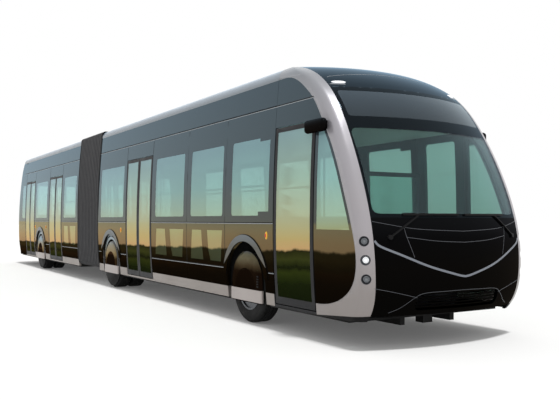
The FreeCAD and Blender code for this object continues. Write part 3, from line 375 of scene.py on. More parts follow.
# The same flake paint on the roof edges, with a painted reflection of open sky: blue along its crest
COWL = Finish("silver_flake_paint_rolled", "#8b9197", "#848a90", 600, (0.30, 0.40), 2, 0.006, metallic=0.15,
              coat=0.25, heights=((0.0, "#7b8288"), (3.24, "#7f878e"), (3.33, "#93a2b0"), (3.38, "#c4dcf0"),
                                  (3.42, "#cfe6f8")))
# The same flake paint on the sills, duller from road film
SILL_SILVER = Finish("silver_flake_paint_filmed", "#9c948f", "#8a827c", 350, (0.38, 0.5), 3, 0.01,
                     metallic=0.3)
# The same flake paint on the wheel covers' foot bands, wiped clean
BAND_SILVER = Finish("silver_flake_paint_wiped", "#b6ada9", "#a49b97", 350, (0.32, 0.42), 3, 0.01,
                     metallic=0.15)
# Satin grey paint on the moulded arch lips, coloured by height as a painted reflection: the dark ground low
# down, lighter blue-grey sky near the crown
LIP_GREY = Finish("grey_satin_paint_moulded", "#8b8f8e", "#7b766c", 300, (0.3, 0.4), 3, 0.01, metallic=0.25,
                  heights=((0.0, "#342e24"), (0.8, "#403b30"), (1.05, "#4c4c42"), (1.15, "#565f64"),
                           (1.3, "#6c7a82")))
# The same paint on the dished mouldings inside the fixed arches, coloured by height as a painted reflection of
# sky, lighter towards the top
LIP_BRIGHT = Finish("grey_satin_paint_dished", "#8fa0a8", "#8494a0", 300, (0.3, 0.4), 3, 0.01, metallic=0.1,
                    heights=((0.0, "#6a6252"), (0.75, "#7f7862"), (0.95, "#8f9c9e"), (1.13, "#a4b6c0")))
# Gloss black polycarbonate of the mouldings behind the arch lips
GLOSS = Finish("black_polycarbonate_moulded", "#0b0a0a", "#14110e", 260, (0.05, 0.11), 5, 0.005)
# Unpainted black plastic of frames, ducts and wiper arms: fine leathery grain, soft grey sheen
FRAME = Finish("charcoal_abs_moulded", "#1c1c1f", "#242427", 180, (0.42, 0.55), 1.5, 0.02, specular=0.2)
DARK = Finish("black_abs_moulded", "#0b0b0c", "#131314", 180, (0.5, 0.65), 1.5, 0.02, specular=0.15)
# Soft black sealing rubber
SEAL = Finish("epdm_seal_extruded", "#0a0a0b", "#121213", 120, (0.55, 0.7), 2, 0.02, specular=0.15)
# Bright anodised edge trim, thin drawn strips
EDGE = Finish("aluminium_trim_drawn", "#a9afb4", "#9aa0a5", 200, (0.25, 0.35), 2, 0.004, metallic=0.2)
# The grey painted line that crosses the mask
LINE_GREY = Finish("grey_flake_paint_sprayed", "#7c818a", "#6f747c", 200, (0.35, 0.45), 2, 0.004,
                   metallic=0.15)
# Panel gaps on the mask, seen as fine grey lines
GAP_GREY = Finish("aluminium_lip_brushed", "#4a4d52", "#3e4146", 200, (0.4, 0.5), 2, 0.004)
# Road tyre rubber: dull carbon black with a little dust and a fine moulded grain
RUBBER = Finish("tyre_rubber_moulded", "#0e0e0e", "#171615", 90, (0.72, 0.88), 2, 0.06, specular=0.3)
# Forged aluminium wheels, turned and polished, dark in the shade of the arches
RIM = Finish("aluminium_forged_polished", "#55575b", "#3f4042", 60, (0.25, 0.4), 1, 0.01, metallic=1.0)
# Coated polyester bellows cloth: dark warm grey, dull, with a coarse woven bump
BELLOWS = Finish("polyester_bellows_coated", "#333335", "#3c3b3e", 140, (0.6, 0.75), 1.6, 0.05, specular=0.2,
                 sheen=0.04)
# Cast and welded steel under black chassis paint, dusty
CHASSIS = Finish("steel_chassis_painted", "#101010", "#1e1c19", 220, (0.55, 0.75), 4, 0.08, specular=0.2)
# Rolled vinyl floor with mineral speckle
VINYL = Finish("vinyl_floor_rolled", "#4a4c4e", "#3c3d3e", 12, (0.5, 0.65), 3, 0.03)
# Pressed laminate ceiling, matt warm white
CEILING = Finish("laminate_ceiling_pressed", "#d5d5d0", "#c9c9c4", 500, (0.5, 0.6), 3, 0.01)
# Ribbed aluminium plate of the turning floor
PLATE = Finish("aluminium_plate_rolled", "#8f9194", "#7f8184", 60, (0.35, 0.5), 6, 0.2, metallic=0.9)
# Grey painted sheet-steel battery case
CASE = Finish("steel_case_painted", "#6e7073", "#626467", 300, (0.45, 0.6), 3, 0.02)
# Moulded dashboard and partition, slate grey
CAB = Finish("slate_abs_moulded", "#2a2d30", "#34373a", 200, (0.5, 0.65), 1.5, 0.03)
# Powder-coated grab rails, dark grey
RAIL = Finish("steel_tube_powder_coated", "#4c5254", "#454b4d", 80, (0.3, 0.42), 1.2, 0.01)
# Moulded seat shells in teal-grey plastic
SHELL = Finish("seat_shell_moulded", "#3d4c50", "#36454a", 140, (0.4, 0.5), 1.5, 0.02)
# Woven wool moquette on the seat pads: short dense pile with a soft edge light
MOQUETTE = Finish("wool_moquette_woven", "#3a5960", "#2c4950", 9, (0.8, 0.95), 1.2, 0.25, sheen=0.5)
# Lamp parts: dark vacuum-plated cup, clear bright lens, dull lens, amber and red acrylic
CUP = Finish("reflector_cup_plated", "#3c3e42", "#2e3034", 20, (0.15, 0.25), 3, 0.01, metallic=0.8)
LENS_BRIGHT = Finish("clear_lens_polished", "#f4f6f8", "#e2e6ea", 12, (0.05, 0.1), 4, 0.02, glow=0.5)
LENS_DULL = Finish("smoked_lens_polished", "#8a8e93", "#74787d", 12, (0.06, 0.12), 4, 0.02)
AMBER = Finish("amber_acrylic_moulded", "#e8b02a", "#d89a20", 10, (0.12, 0.2), 3, 0.02, glow=0.15)
RED = Finish("red_acrylic_moulded", "#d8402c", "#b8281c", 14, (0.12, 0.2), 3, 0.02, glow=0.1)
# Green-tinted side glass: pale teal, warmer towards its foot, where a painted reflection by height lays the
# evening ground, a warm horizon and sky over it
SIDE_GLASS = Glazing("green_float_glass_tempered", "#e2f2ee", (
    (0.00, "#2c2a1c", 0.90), (0.86, "#50563e", 0.80), (0.89, "#dcc88c", 0.66), (1.27, "#d3da9e", 0.62),
    (1.48, "#cceac8", 0.60), (1.90, "#b2e4de", 0.56), (2.52, "#a4ccd6", 0.54)), SKY)
# The same glass in the doors, darker low down, where a painted reflection by height lays dark ground with
# hedges, a warm horizon and sky over it
DOOR_GLASS = Glazing("green_float_glass_bonded", "#e4f2ec", (
    (0.00, "#10140b", 0.96), (0.45, "#1e2710", 0.95), (0.60, "#343f18", 0.94), (0.66, "#1c2310", 0.94),
    (0.76, "#3f4620", 0.93), (0.86, "#2e3018", 0.92), (0.89, "#ecc488", 0.80), (1.05, "#eed890", 0.70),
    (1.40, "#e6e6b0", 0.66), (1.95, "#c8e8d0", 0.60), (2.56, "#b0d4d8", 0.56)), SKY)
# The inner face of every pane: clear, with only the glass's own tint, and a reflection tinted as a painted
# plain pale sky
INNER_GLASS = Glazing("float_glass_drawn", "#e2f2ee", ((0.0, "#c8d8d0", 0.0), (3.4, "#c8d8d0", 0.0)),
                      SKY_ALONE)
# Laminated windscreen with a faint green tint and hardly any painted reflection layer, so that the cab shows;
# its reflection is tinted pale blue-grey as a painted sky
SCREEN_GLASS = Glazing("green_laminated_glass", "#def1ec", ((0.0, "#404a4e", 0.0), (3.4, "#404a4e", 0.02)),
                       ((0.0, "#c0d0dc"), (3.4, "#c8d8e4")))
# The destination window: smoked glass, grey-blue, half covered by a painted reflection layer of grey that turns
# bluer towards the top as painted sky
SIGN_GLASS = Glazing("grey_smoked_glass", "#8a949c", ((0.0, "#38424a", 0.5), (2.62, "#38424a", 0.5),
                                                    (2.96, "#4a5864", 0.6)), SKY_ALONE)
# Matt white stage floor
STAGE_WHITE = "#f4f4f3"


def add_object(name: str, data: bpy.types.ID) -> bpy.types.Object:
    """Put new data in the scene as an object."""
    obj = bpy.data.objects.new(name, data)
    bpy.context.scene.collection.objects.link(obj)
    return obj


def meshed(name: str, bm: BMesh, materials: Sequence[bpy.types.Material]) -> bpy.types.Object:
    """Turn a bmesh, which is freed, into an object with its materials."""
    mesh = bpy.data.meshes.new(name)
    bm.to_mesh(mesh)
    bm.free()
    for material in materials:
        mesh.materials.append(material)
    return add_object(name, mesh)


def finished(name: str, bm: BMesh, finishes: Sequence[Surface], body: str,
             replaces: Sequence[str] = (), sharp: float = 32.0, ride: bool = True) -> bpy.types.Object:
    """Turn a bmesh into a piece of the bus.

    Args:
        name: The piece's name.
        bm: Its mesh, which is freed.
        finishes: Finishes in the order of the faces' material numbers.
        body: The CAD body that it rides on.
        replaces: CAD nodes that it stands for.
        sharp: Edges turned by more degrees than this stay sharp.
        ride: False to leave the piece fastened to no body.

    Returns:
        The new object.
    """
    obj = meshed(name, bm, [finish.material() for finish in finishes])
    for polygon in obj.data.polygons:
        polygon.use_smooth = True
    obj.data.set_sharp_from_angle(angle=math.radians(sharp))
    if ride:
        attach(obj, body)
    if replaces:
        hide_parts(*replaces)
    LOG.info("%s: %d faces on %s", name, len(obj.data.polygons), body)
    return obj


def sections(stem: str) -> Tuple[Tuple[str, str], ...]:
    """The two nodes of a stem, one on each section, each with its body."""
    return (stem + "_front", FRONT), (stem + "_rear", REAR)


def cad_copy(node: str) -> BMesh:
    """Copy a CAD node's mesh with its loose triangles joined up."""
    bm = bmesh.new()
    bm.from_mesh(NODES[node].data)
    bmesh.ops.remove_doubles(bm, verts=bm.verts, dist=0.01 * MM)
    bm.normal_update()
    return bm


def islands(bm: BMesh) -> List[List[BMVert]]:
    """Find the separate solids of a mesh, each as its list of vertices."""
    left = set(bm.verts)
    groups = []
    for start in bm.verts:
        if start not in left:
            continue
        left.discard(start)
        group = [start]
        for vert in group:
            for edge in vert.link_edges:
                other = edge.other_vert(vert)
                if other in left:
                    left.discard(other)
                    group.append(other)
        groups.append(group)
    return groups


def bevel(bm: BMesh, geom: Sequence, offset: float, segments: int, affect: str = "EDGES") -> None:
    """Round edges, or corners where affect is VERTICES."""
    bmesh.ops.bevel(bm, geom=geom, offset=offset, segments=segments, profile=0.5, affect=affect, material=-1)


def cuboid(corner: Sequence[float], other: Sequence[float]) -> BMesh:
    """Make a box between two opposite corners."""
    low = Vector(tuple(map(min, corner, other)))
    high = Vector(tuple(map(max, corner, other)))
    bm = bmesh.new()
    bmesh.ops.create_cube(bm, size=1.0)
    bmesh.ops.scale(bm, vec=high - low, verts=bm.verts)
    bmesh.ops.translate(bm, vec=(low + high) / 2, verts=bm.verts)
    return bm


def block(corner: Sequence[float], other: Sequence[float], edge: float, segments: int = 2) -> BMesh:
    """Make a box with rounded edges between two opposite corners."""
    bm = cuboid(corner, other)
    bevel(bm, bm.edges[:], edge, segments)
    return bm


def ellipsoid(halves: Sequence[float], segments: int, rings: int) -> BMesh:
    """Make an ellipsoid about the origin from its half sizes."""
    bm = bmesh.new()
    bmesh.ops.create_uvsphere(bm, u_segments=segments, v_segments=rings, radius=1.0)
    bmesh.ops.scale(bm, vec=Vector(halves), verts=bm.verts)
    return bm


def joined(parts: Sequence[BMesh]) -> BMesh:
    """Gather several meshes in one, and free them."""
    whole = bmesh.new()
    for part in parts:
        mesh = bpy.data.meshes.new("joining")
        part.to_mesh(mesh)
        part.free()
        whole.from_mesh(mesh)
        bpy.data.meshes.remove(mesh)
    return whole


def smooth_line(points: Sequence[Point2], steps: int = 6) -> List[Point2]:
    """Draw a smooth line through a few points, with each stretch split in steps."""
    line = []
    vectors = [Vector(p) for p in points]
    ends = [2 * vectors[0] - vectors[1]] + vectors + [2 * vectors[-1] - vectors[-2]]
    for before, start, end, after in zip(ends, ends[1:], ends[2:], ends[3:]):
        for step in range(steps):
            t = step / steps
            line.append(tuple(0.5 * (2 * start + (end - before) * t
                                     + (2 * before - 5 * start + 4 * end - after) * t ** 2
                                     + (3 * start - before - 3 * end + after) * t ** 3)))
    return line + [tuple(vectors[-1])]


def rounded(corners: Sequence[Point2], radius: float, steps: int = 4) -> List[Vector]:
    """Round the corners of an outline.

    Args:
        corners: The outline, anticlockwise.
        radius: How far from each corner the rounding starts.
        steps: Straight parts in each corner.

    Returns:
        The outline's points.
    """
    points = []
    for index, corner in enumerate(corners):
        here = Vector(corner)
        before = here + (Vector(corners[index - 1]) - here).normalized() * radius
        after = here + (Vector(corners[(index + 1) % len(corners)]) - here).normalized() * radius
        for step in range(steps + 1):
            t = step / steps
            points.append(before * (1 - t) ** 2 + here * 2 * t * (1 - t) + after * t ** 2)
    return points


def inside(outline: Sequence[Point2], across: float, up: float) -> bool:
    """Tell whether a point lies inside a convex outline drawn anticlockwise."""
    pairs = zip(outline, list(outline[1:]) + [outline[0]])
    return all((b[0] - a[0]) * (up - a[1]) - (b[1] - a[1]) * (across - a[0]) >= 0 for a, b in pairs)


def level_plane(axis: str, value: float) -> Plane:
    """The plane square to an axis at a value on it."""
    normal = Vector([float(name == axis) for name in "xyz"])
    return normal * value, normal


def line_plane(start: Point2, end: Point2, axis: int = 0) -> Plane:
    """The plane through a line drawn in x and height, or where axis is 1 in y and height."""
    point, normal = Vector((0, 0, start[1])), Vector((0, 0, start[0] - end[0]))
    point[axis] = start[0]
    normal[axis] = end[1] - start[1]
    return point, normal.normalized()


def band(path: Path, width: float, thick: float, lift: float = 0.0) -> BMesh:
    """Lay a thin strip along a surface.

    Args:
        path: Points on the surface, each with the way out of it.
        width: The strip's width.
        thick: How thick it is.
        lift: How far it lies off the surface.

    Returns:
        The closed strip.
    """
    count = len(path)
    bm = bmesh.new()
    bmesh.ops.create_grid(bm, x_segments=count - 1, y_segments=1, size=1.0)
    for vert in bm.verts:
        index = round((vert.co.x + 1) / 2 * (count - 1))
        point, out = path[index]
        ahead = path[min(index + 1, count - 1)][0] - path[max(index - 1, 0)][0]
        across = out.cross(ahead).normalized()
        vert.co = point + out * (lift + thick) + across * (vert.co.y * width / 2)
    bm.normal_update()
    bmesh.ops.solidify(bm, geom=bm.faces[:], thickness=thick)
    bmesh.ops.recalc_face_normals(bm, faces=bm.faces)
    return bm


def skin_y(height: float) -> float:
    """Half the body's width at a height."""
    radius = UPPER_RADIUS if height > BELT else LOWER_RADIUS
    return HALF_WIDTH - radius + math.sqrt(radius ** 2 - (height - BELT) ** 2)


def side_path(points: Sequence[Point2], side: Side) -> Path:
    """Put points given by x and height on the flat part of a side wall."""
    out = Vector((0, side.value, 0))
    return [(Vector((x, side.value * skin_y(z), z)), out) for x, z in points]


class Skin:
    """The outer surface of some CAD nodes, found by rays."""

    reach = 20.0

    def __init__(self, *names: str) -> None:
        """Gather the nodes' faces in one search tree."""
        points, faces = [], []
        for name in names:
            mesh = NODES[name].data
            start = len(points)
            points += [vert.co.copy() for vert in mesh.vertices]
            faces += [[start + index for index in polygon.vertices] for polygon in mesh.polygons]
        self.tree = BVHTree.FromPolygons(points, faces)

    def front(self, points: Sequence[Point2]) -> Path:
        """Lay points given by y and height on the nose, seen from the front, each with the way out of it."""
        path = []
        way = Vector((-1, 0, 0))
        for y, z in points:
            point, out, _, _ = self.tree.ray_cast(Vector((self.reach, y, z)), way)
            if point is None:
                raise ValueError(f"no surface behind y {y:.3f} at height {z:.3f}")
            path.append((point, -out if out.dot(way) > 0 else out))
        return path


@dataclass
class Recoat:
    """A CAD node shown again with its faces shared out between finishes.

    Attributes:
        node: The CAD node.
        body: Its body.
        slot: Its material slot; not used.
        finishes: The finishes.
        rule: Gives a face's finish number from its centre and normal.
        cuts: Planes, by point and normal, that the mesh is first cut along.
        sharp: Edges turned by more degrees than this stay sharp.
    """

    node: str
    body: str
    slot: str
    finishes: Sequence[Surface]
    rule: Callable[[Vector, Vector], int]
    cuts: Sequence[Plane] = ()
    sharp: float = 32.0

    def build(self) -> None:
        """Cut, share out and show the node."""
        bm = cad_copy(self.node)
        for point, normal in self.cuts:
            bmesh.ops.bisect_plane(bm, geom=bm.verts[:] + bm.edges[:] + bm.faces[:], dist=0.001 * MM,
                                   plane_co=point, plane_no=normal)
        for face in bm.faces:
            face.material_index = self.rule(face.calc_center_median(), face.normal)
        finished(self.node + "_dressed", bm, self.finishes, self.body, (self.node,), self.sharp)


@dataclass
class Windscreen:
    """The bowed windscreen with its printed border and the destination window over it."""

    main: Tuple[Point2, ...] = ((-1.112, 1.492), (1.112, 1.492), (1.088, 2.470), (-1.088, 2.470))
    sign: Tuple[Point2, ...] = ((-1.045, 2.618), (1.045, 2.618), (1.026, 2.952), (-1.026, 2.952))
    corner: float = 0.085

    def build(self) -> None:
        """Cut both clear windows out of the border print."""
        outlines = [rounded(self.main, self.corner), rounded(self.sign, self.corner / 2)]
        cuts = [line_plane(start, end, axis=1) for outline in outlines
                for start, end in zip(outline, outline[1:] + outline[:1]) if (end - start).length > 0.1 * MM]

        def rule(centre: Vector, _: Vector) -> int:
            """Tell clear glass from printed border."""
            for number, outline in enumerate(outlines, 1):
                if inside(outline, centre.y, centre.z):
                    return number
            return 0

        Recoat("windscreen", FRONT, "windscreen_glass", (FRIT, SCREEN_GLASS, SIGN_GLASS), rule, cuts).build()


@dataclass
class DoorLeaf:
    """A glazed door leaf: bonded glass in a charcoal frame with rubber seals and a grab bar."""

    node: str
    border: float = 0.016
    frame_width: float = 0.062
    foot: float = 0.095
    seal_levels: Tuple[float, ...] = (0.36, BELT, 2.59)
    seal_width: float = 0.008
    seal_proud: float = 0.003
    # How far in from the skin the seals start and end
    seal_depth: Point2 = (0.004, 0.032)
    bar_inset: float = 0.09
    bar_clear: float = 0.085
    bar_radius: float = 0.014
    bar_middle: float = 1.35
    bar_length: float = 1.0
    stay_levels: Tuple[float, ...] = (0.9, 1.8)
    stay_half: Point2 = (0.010, 0.012)

    def build(self) -> None:
        """Split the leaf in frame and glass, and add its seals and grab bar."""
        low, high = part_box(self.node)
        body = self.node.removesuffix("_leaf")
        rear, front = low.x + self.frame_width, high.x - self.frame_width
        foot, head = low.z + self.border + self.foot, high.z - self.border - self.frame_width
        cuts = [level_plane(*place) for place in (("x", rear), ("x", front), ("z", foot), ("z", head))]

        def rule(centre: Vector, normal: Vector) -> int:
            """Tell frame, outer glass and inner glass apart."""
            glazed = rear < centre.x < front and foot < centre.z < head
            if not glazed or abs(normal.y) < 0.7:
                return 0
            return 1 if normal.y < 0 else 2

        Recoat(self.node, body, "door_frame", (FRAME, DOOR_GLASS, INNER_GLASS), rule, cuts).build()
        self.seals(body, (low.x - self.seal_proud, high.x + self.seal_proud - self.seal_width))
        self.grab_bar(body, front - self.bar_inset)

    def seals(self, body: str, places: Sequence[float]) -> None:
        """Run a rubber strip up each end of the leaf."""
        start, end = self.seal_depth
        strips = []
        for x in places:
            for foot, head in zip(self.seal_levels, self.seal_levels[1:]):
                outer = -min(skin_y(foot), skin_y(head))
                strips.append(block((x, outer + start, foot),
                                    (x + self.seal_width, outer + end, head), 0.003))
        finished(self.node + "_seals", joined(strips), (SEAL,), body)

    def grab_bar(self, body: str, x: float) -> None:
        """Set an upright bar on two stays inside the glass."""
        inner = -skin_y(2.5) + self.bar_clear
        wide, tall = self.stay_half
        bar = bmesh.new()
        bmesh.ops.create_cone(bar, cap_ends=True, segments=16, radius1=self.bar_radius,
                              radius2=self.bar_radius, depth=self.bar_length)
        bmesh.ops.translate(bar, vec=(x, inner, self.bar_middle), verts=bar.verts)
        stays = [block((x - wide, -skin_y(z) + 0.006, z - tall), (x + wide, inner, z + tall), 0.004)
                 for z in self.stay_levels]
        finished(self.node + "_grab_bar", joined([bar] + stays), (RAIL,), body)


@dataclass
class Tyres:
    """The tyres of one wheel, with grooved treads and cut shoulders, turned about the axle."""

    node: str
    body: str
    width: float = 0.276
    steps: int = 96
    # Half the section from the bead out to the crown: distance from the middle, radius
    flank: Tuple[Point2, ...] = ((0.116, 0.286), (0.117, 0.302), (0.129, 0.322), (0.1365, 0.350),
                                 (0.1378, 0.382), (0.1385, 0.388), (0.1365, 0.394), (0.134, 0.420),
                                 (0.129, 0.444), (0.116, 0.464), (0.101, 0.4755))
    grooves: Tuple[float, ...] = (0.068, 0.027, -0.027, -0.068)
    crown: float = 0.478
    groove_half: float = 0.005
    groove_floor_half: float = 0.004
    groove_depth: float = 0.013
    # Every other face of the shoulder is cut in: where the shoulder lies, its least radius, border and depth
    shoulder: Point2 = (0.074, 0.1)
    shoulder_radius: float = 0.45
    cut_border: float = 0.008
    cut_depth: float = 0.006

    def section(self) -> List[Point2]:
        """The closed outline of a tyre's section."""
        outline = list(self.flank)
        floor = self.crown - self.groove_depth
        for place in self.grooves:
            outline += [(place + self.groove_half, self.crown), (place + self.groove_floor_half, floor),
                        (place - self.groove_floor_half, floor), (place - self.groove_half, self.crown)]
        return outline + [(-y, radius) for y, radius in reversed(self.flank)]

    def one(self, centre: Vector) -> BMesh:
        """Turn one tyre about its centre."""
        bm = bmesh.new()
        verts = [bm.verts.new((centre.x, centre.y + y, centre.z + r)) for y, r in self.section()]
        edges = [bm.edges.new(pair) for pair in zip(verts, verts[1:] + verts[:1])]
        bmesh.ops.spin(bm, geom=verts + edges, cent=centre, axis=(0, 1, 0), steps=self.steps,
                       angle=math.tau, use_merge=True)
        bmesh.ops.remove_doubles(bm, verts=bm.verts, dist=0.05 * MM)
        near, far = self.shoulder
        cuts = []
        for face in bm.faces:
            middle = face.calc_center_median() - centre
            turn = round(math.atan2(middle.z, middle.x) / math.tau * self.steps - 0.5)
            if near < abs(middle.y) < far and turn % 2 and middle.length > self.shoulder_radius:
                cuts.append(face)
        bmesh.ops.recalc_face_normals(bm, faces=bm.faces)
        bmesh.ops.inset_individual(bm, faces=cuts, thickness=self.cut_border, depth=-self.cut_depth)
        return bm

    def build(self) -> None:
        """Place a tyre at each end of the node's box."""
        low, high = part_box(self.node)
        middle = (low + high) / 2
        places = {round(low.y + self.width / 2, 4), round(high.y - self.width / 2, 4)}
        parts = [self.one(Vector((middle.x, y, middle.z))) for y in sorted(places)]
        finished(self.node + "_treaded", joined(parts), (RUBBER,), self.body, (self.node,), sharp=40)


@dataclass
class WheelCover:
    """A wheel's domed gloss cover with its silver foot band and, at the front, its louvres."""

    axle: float
    body: str
    side: Side
    face: float
    finish: Lacquer = COVER_REAR
    louvres: int = 0
    half: float = 0.388
    centre: float = 0.560
    foot: float = 0.470
    rise: float = 0.012
    shoulder: float = 0.085
    core: float = 0.290
    steps: int = 6
    arc_steps: int = 32
    # The band: how far it reaches to the rear and the front, its levels, depth and corner rounding
    band_rear: float = 0.418
    band_front: float = 0.450
    band_bottom: float = 0.308
    band_top: float = 0.474
    band_depth: Point2 = (-0.022, 0.014)
    band_corner: float = 0.022
    # The louvres: rear and front end, level of the lowest, pitch and height
    louvre_ends: Point2 = (0.325, 0.372)
    louvre_foot: float = 0.515
    louvre_pitch: float = 0.034
    louvre_height: float = 0.018

    def name(self, what: str) -> str:
        """Name a piece of this cover."""
        return f"{what}_{self.body}_{self.side.name.lower()}"

    def ring(self, radius: float, centre: float, depth: float, bm: BMesh) -> List[BMVert]:
        """Draw one round-topped arch of the dome, from its front foot over the top to its rear foot."""
        turns = [math.pi * step / self.arc_steps for step in range(self.arc_steps + 1)]
        points = [(radius * math.cos(turn), centre + radius * math.sin(turn)) for turn in turns]
        y = self.side.value * (self.face + depth)
        return [bm.verts.new((self.axle + x, y, z))
                for x, z in [(radius, self.foot)] + points + [(-radius, self.foot)]]

    def dome(self) -> BMesh:
        """Raise the cover ring by ring to its crown, with a flatter round-topped core in its middle."""
        bm = bmesh.new()
        rings = []
        for step in range(self.steps + 1):
            share = step / self.steps
            rings.append(self.ring(self.half - share * self.shoulder, self.centre,
                                   self.rise * math.sqrt(1 - (1 - share) ** 2), bm))
        rings.append(self.ring(self.core, self.foot, self.rise, bm))
        for outer, inner in zip(rings, rings[1:]):
            for corners in zip(outer, outer[1:], inner[1:], inner):
                bm.faces.new(corners)
        # The core face takes the second finish, painted with a reflection of dark ground and a warm glint
        bm.faces.new(rings[-1]).material_index = 1
        bm.normal_update()
        bm.faces.ensure_lookup_table()
        if bm.faces[0].normal.y * self.side.value < 0:
            bmesh.ops.reverse_faces(bm, faces=bm.faces)
        return bm

    def build(self) -> None:
        """Build dome, band and louvres."""
        finished(self.name("cover_dome"), self.dome(), (self.finish, COVER_CORE), self.body,
                 sharp=60)
        inner, outer = [self.side.value * (self.face + depth) for depth in self.band_depth]
        strip = cuboid((self.axle - self.band_rear, inner, self.band_bottom),
                       (self.axle + self.band_front, outer, self.band_top))
        upright = [edge for edge in strip.edges if abs(edge.verts[0].co.z - edge.verts[1].co.z) > 0.01
                   and all(abs(vert.co.y - outer) < 0.001 for vert in edge.verts)]
        bevel(strip, upright, self.band_corner, 5)
        finished(self.name("cover_band"), strip, (BAND_SILVER,), self.body, sharp=40)
        rear, front = [self.axle + end for end in self.louvre_ends]
        levels = [self.louvre_foot + index * self.louvre_pitch for index in range(self.louvres)]
        bars = [block((rear, inner, z), (front, outer, z + self.louvre_height), 0.003) for z in levels]
        if bars:
            finished(self.name("cover_louvres"), joined(bars), (DARK,), self.body)


@dataclass
class Bellows:
    """The pleated gaiter between the two sections, and its end frames."""

    pleats: int = 14
    depth: float = 0.050
    lip: float = 1.110
    top_corner: float = 0.070
    foot_corner: float = 0.120
    wall: float = 0.004
    proud: float = 0.012
    frame_length: float = 0.03
    frame_size: float = 0.995
    # Heights between foot and top where the body's lean is followed
    levels: Tuple[float, ...] = (0.75, BELT, 1.8, 2.35, 2.9)
    # Through one pleat: share of its length, share of its depth
    fold: Tuple[Point2, ...] = ((0.0, 0.0), (0.36, 0.12), (0.5, 1.0), (0.64, 0.12))

    def outline(self, x: float, low: Vector, high: Vector) -> BMesh:
        """Draw the cloth's upturned U at one station, both faces of it, with the body's own lean."""
        bm = bmesh.new()
        loop, rounds = [], []
        for inset, turn in ((0.0, 1), (self.wall, -1)):
            foot, top = low.z + inset, high.z - inset
            flank = [(min(skin_y(z) + self.proud, high.y) - inset, z) for z in (foot, *self.levels, top)]
            points = [(-self.lip, foot)] + [(-y, z) for y, z in flank] + flank[::-1] + [(self.lip, foot)]
            verts = [bm.verts.new((x, y, z)) for y, z in points]
            tops = verts[len(flank):len(flank) + 2]
            rounds += [(tops, self.top_corner), ([verts[1], verts[-2]], self.foot_corner)]
            loop += verts[::turn]
        for pair in zip(loop, loop[1:] + loop[:1]):
            bm.edges.new(pair)
        for picked, radius in rounds:
            bevel(bm, picked, radius, 6, "VERTICES")
        return bm

    def sleeve(self, low: Vector, high: Vector, stations: Sequence[Point2]) -> BMesh:
        """Draw the outline from station to station, shrunk towards its middle by each station's share."""
        bm = self.outline(stations[0][0], low, high)
        middle = Vector((0, 0, (low.z + high.z) / 2))
        ring = bm.edges[:]
        ends = [ring]
        for (x, size), (next_x, next_size) in zip(stations, stations[1:]):
            made = bmesh.ops.extrude_edge_only(bm, edges=ring)["geom"]
            verts = [part for part in made if isinstance(part, BMVert)]
            ring = [part for part in made if isinstance(part, bmesh.types.BMEdge)
                    and all(vert in verts for vert in part.verts)]
            bmesh.ops.translate(bm, vec=(next_x - x, 0, 0), verts=verts)
            ratio = next_size / size
            bmesh.ops.scale(bm, vec=(1, ratio, ratio), verts=verts, space=Matrix.Translation(-middle))
        ends.append(ring)
        for edges in ends:
            bmesh.ops.contextual_create(bm, geom=edges)
        bmesh.ops.recalc_face_normals(bm, faces=bm.faces)
        return bm

    def build(self) -> None:
        """Fold the gaiter and frame both of its ends."""
        low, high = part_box("bellows")
        pitch = (high.x - low.x) / self.pleats
        stations = [(low.x + (number + along) * pitch, 1 - share * self.depth / high.y)
                    for number in range(self.pleats) for along, share in self.fold]
        stations.append((high.x, 1.0))
        gaiter = finished("bellows_gaiter", self.sleeve(low, high, stations), (BELLOWS,), FRONT,
                          ("bellows",), sharp=40, ride=False)
        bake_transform(gaiter)
        for body, start in ((REAR, low.x), (FRONT, high.x - self.frame_length)):
            ends = [(x, self.frame_size) for x in (start, start + self.frame_length)]
            finished(f"bellows_frame_{body}", self.sleeve(low, high, ends), (DARK,), body)


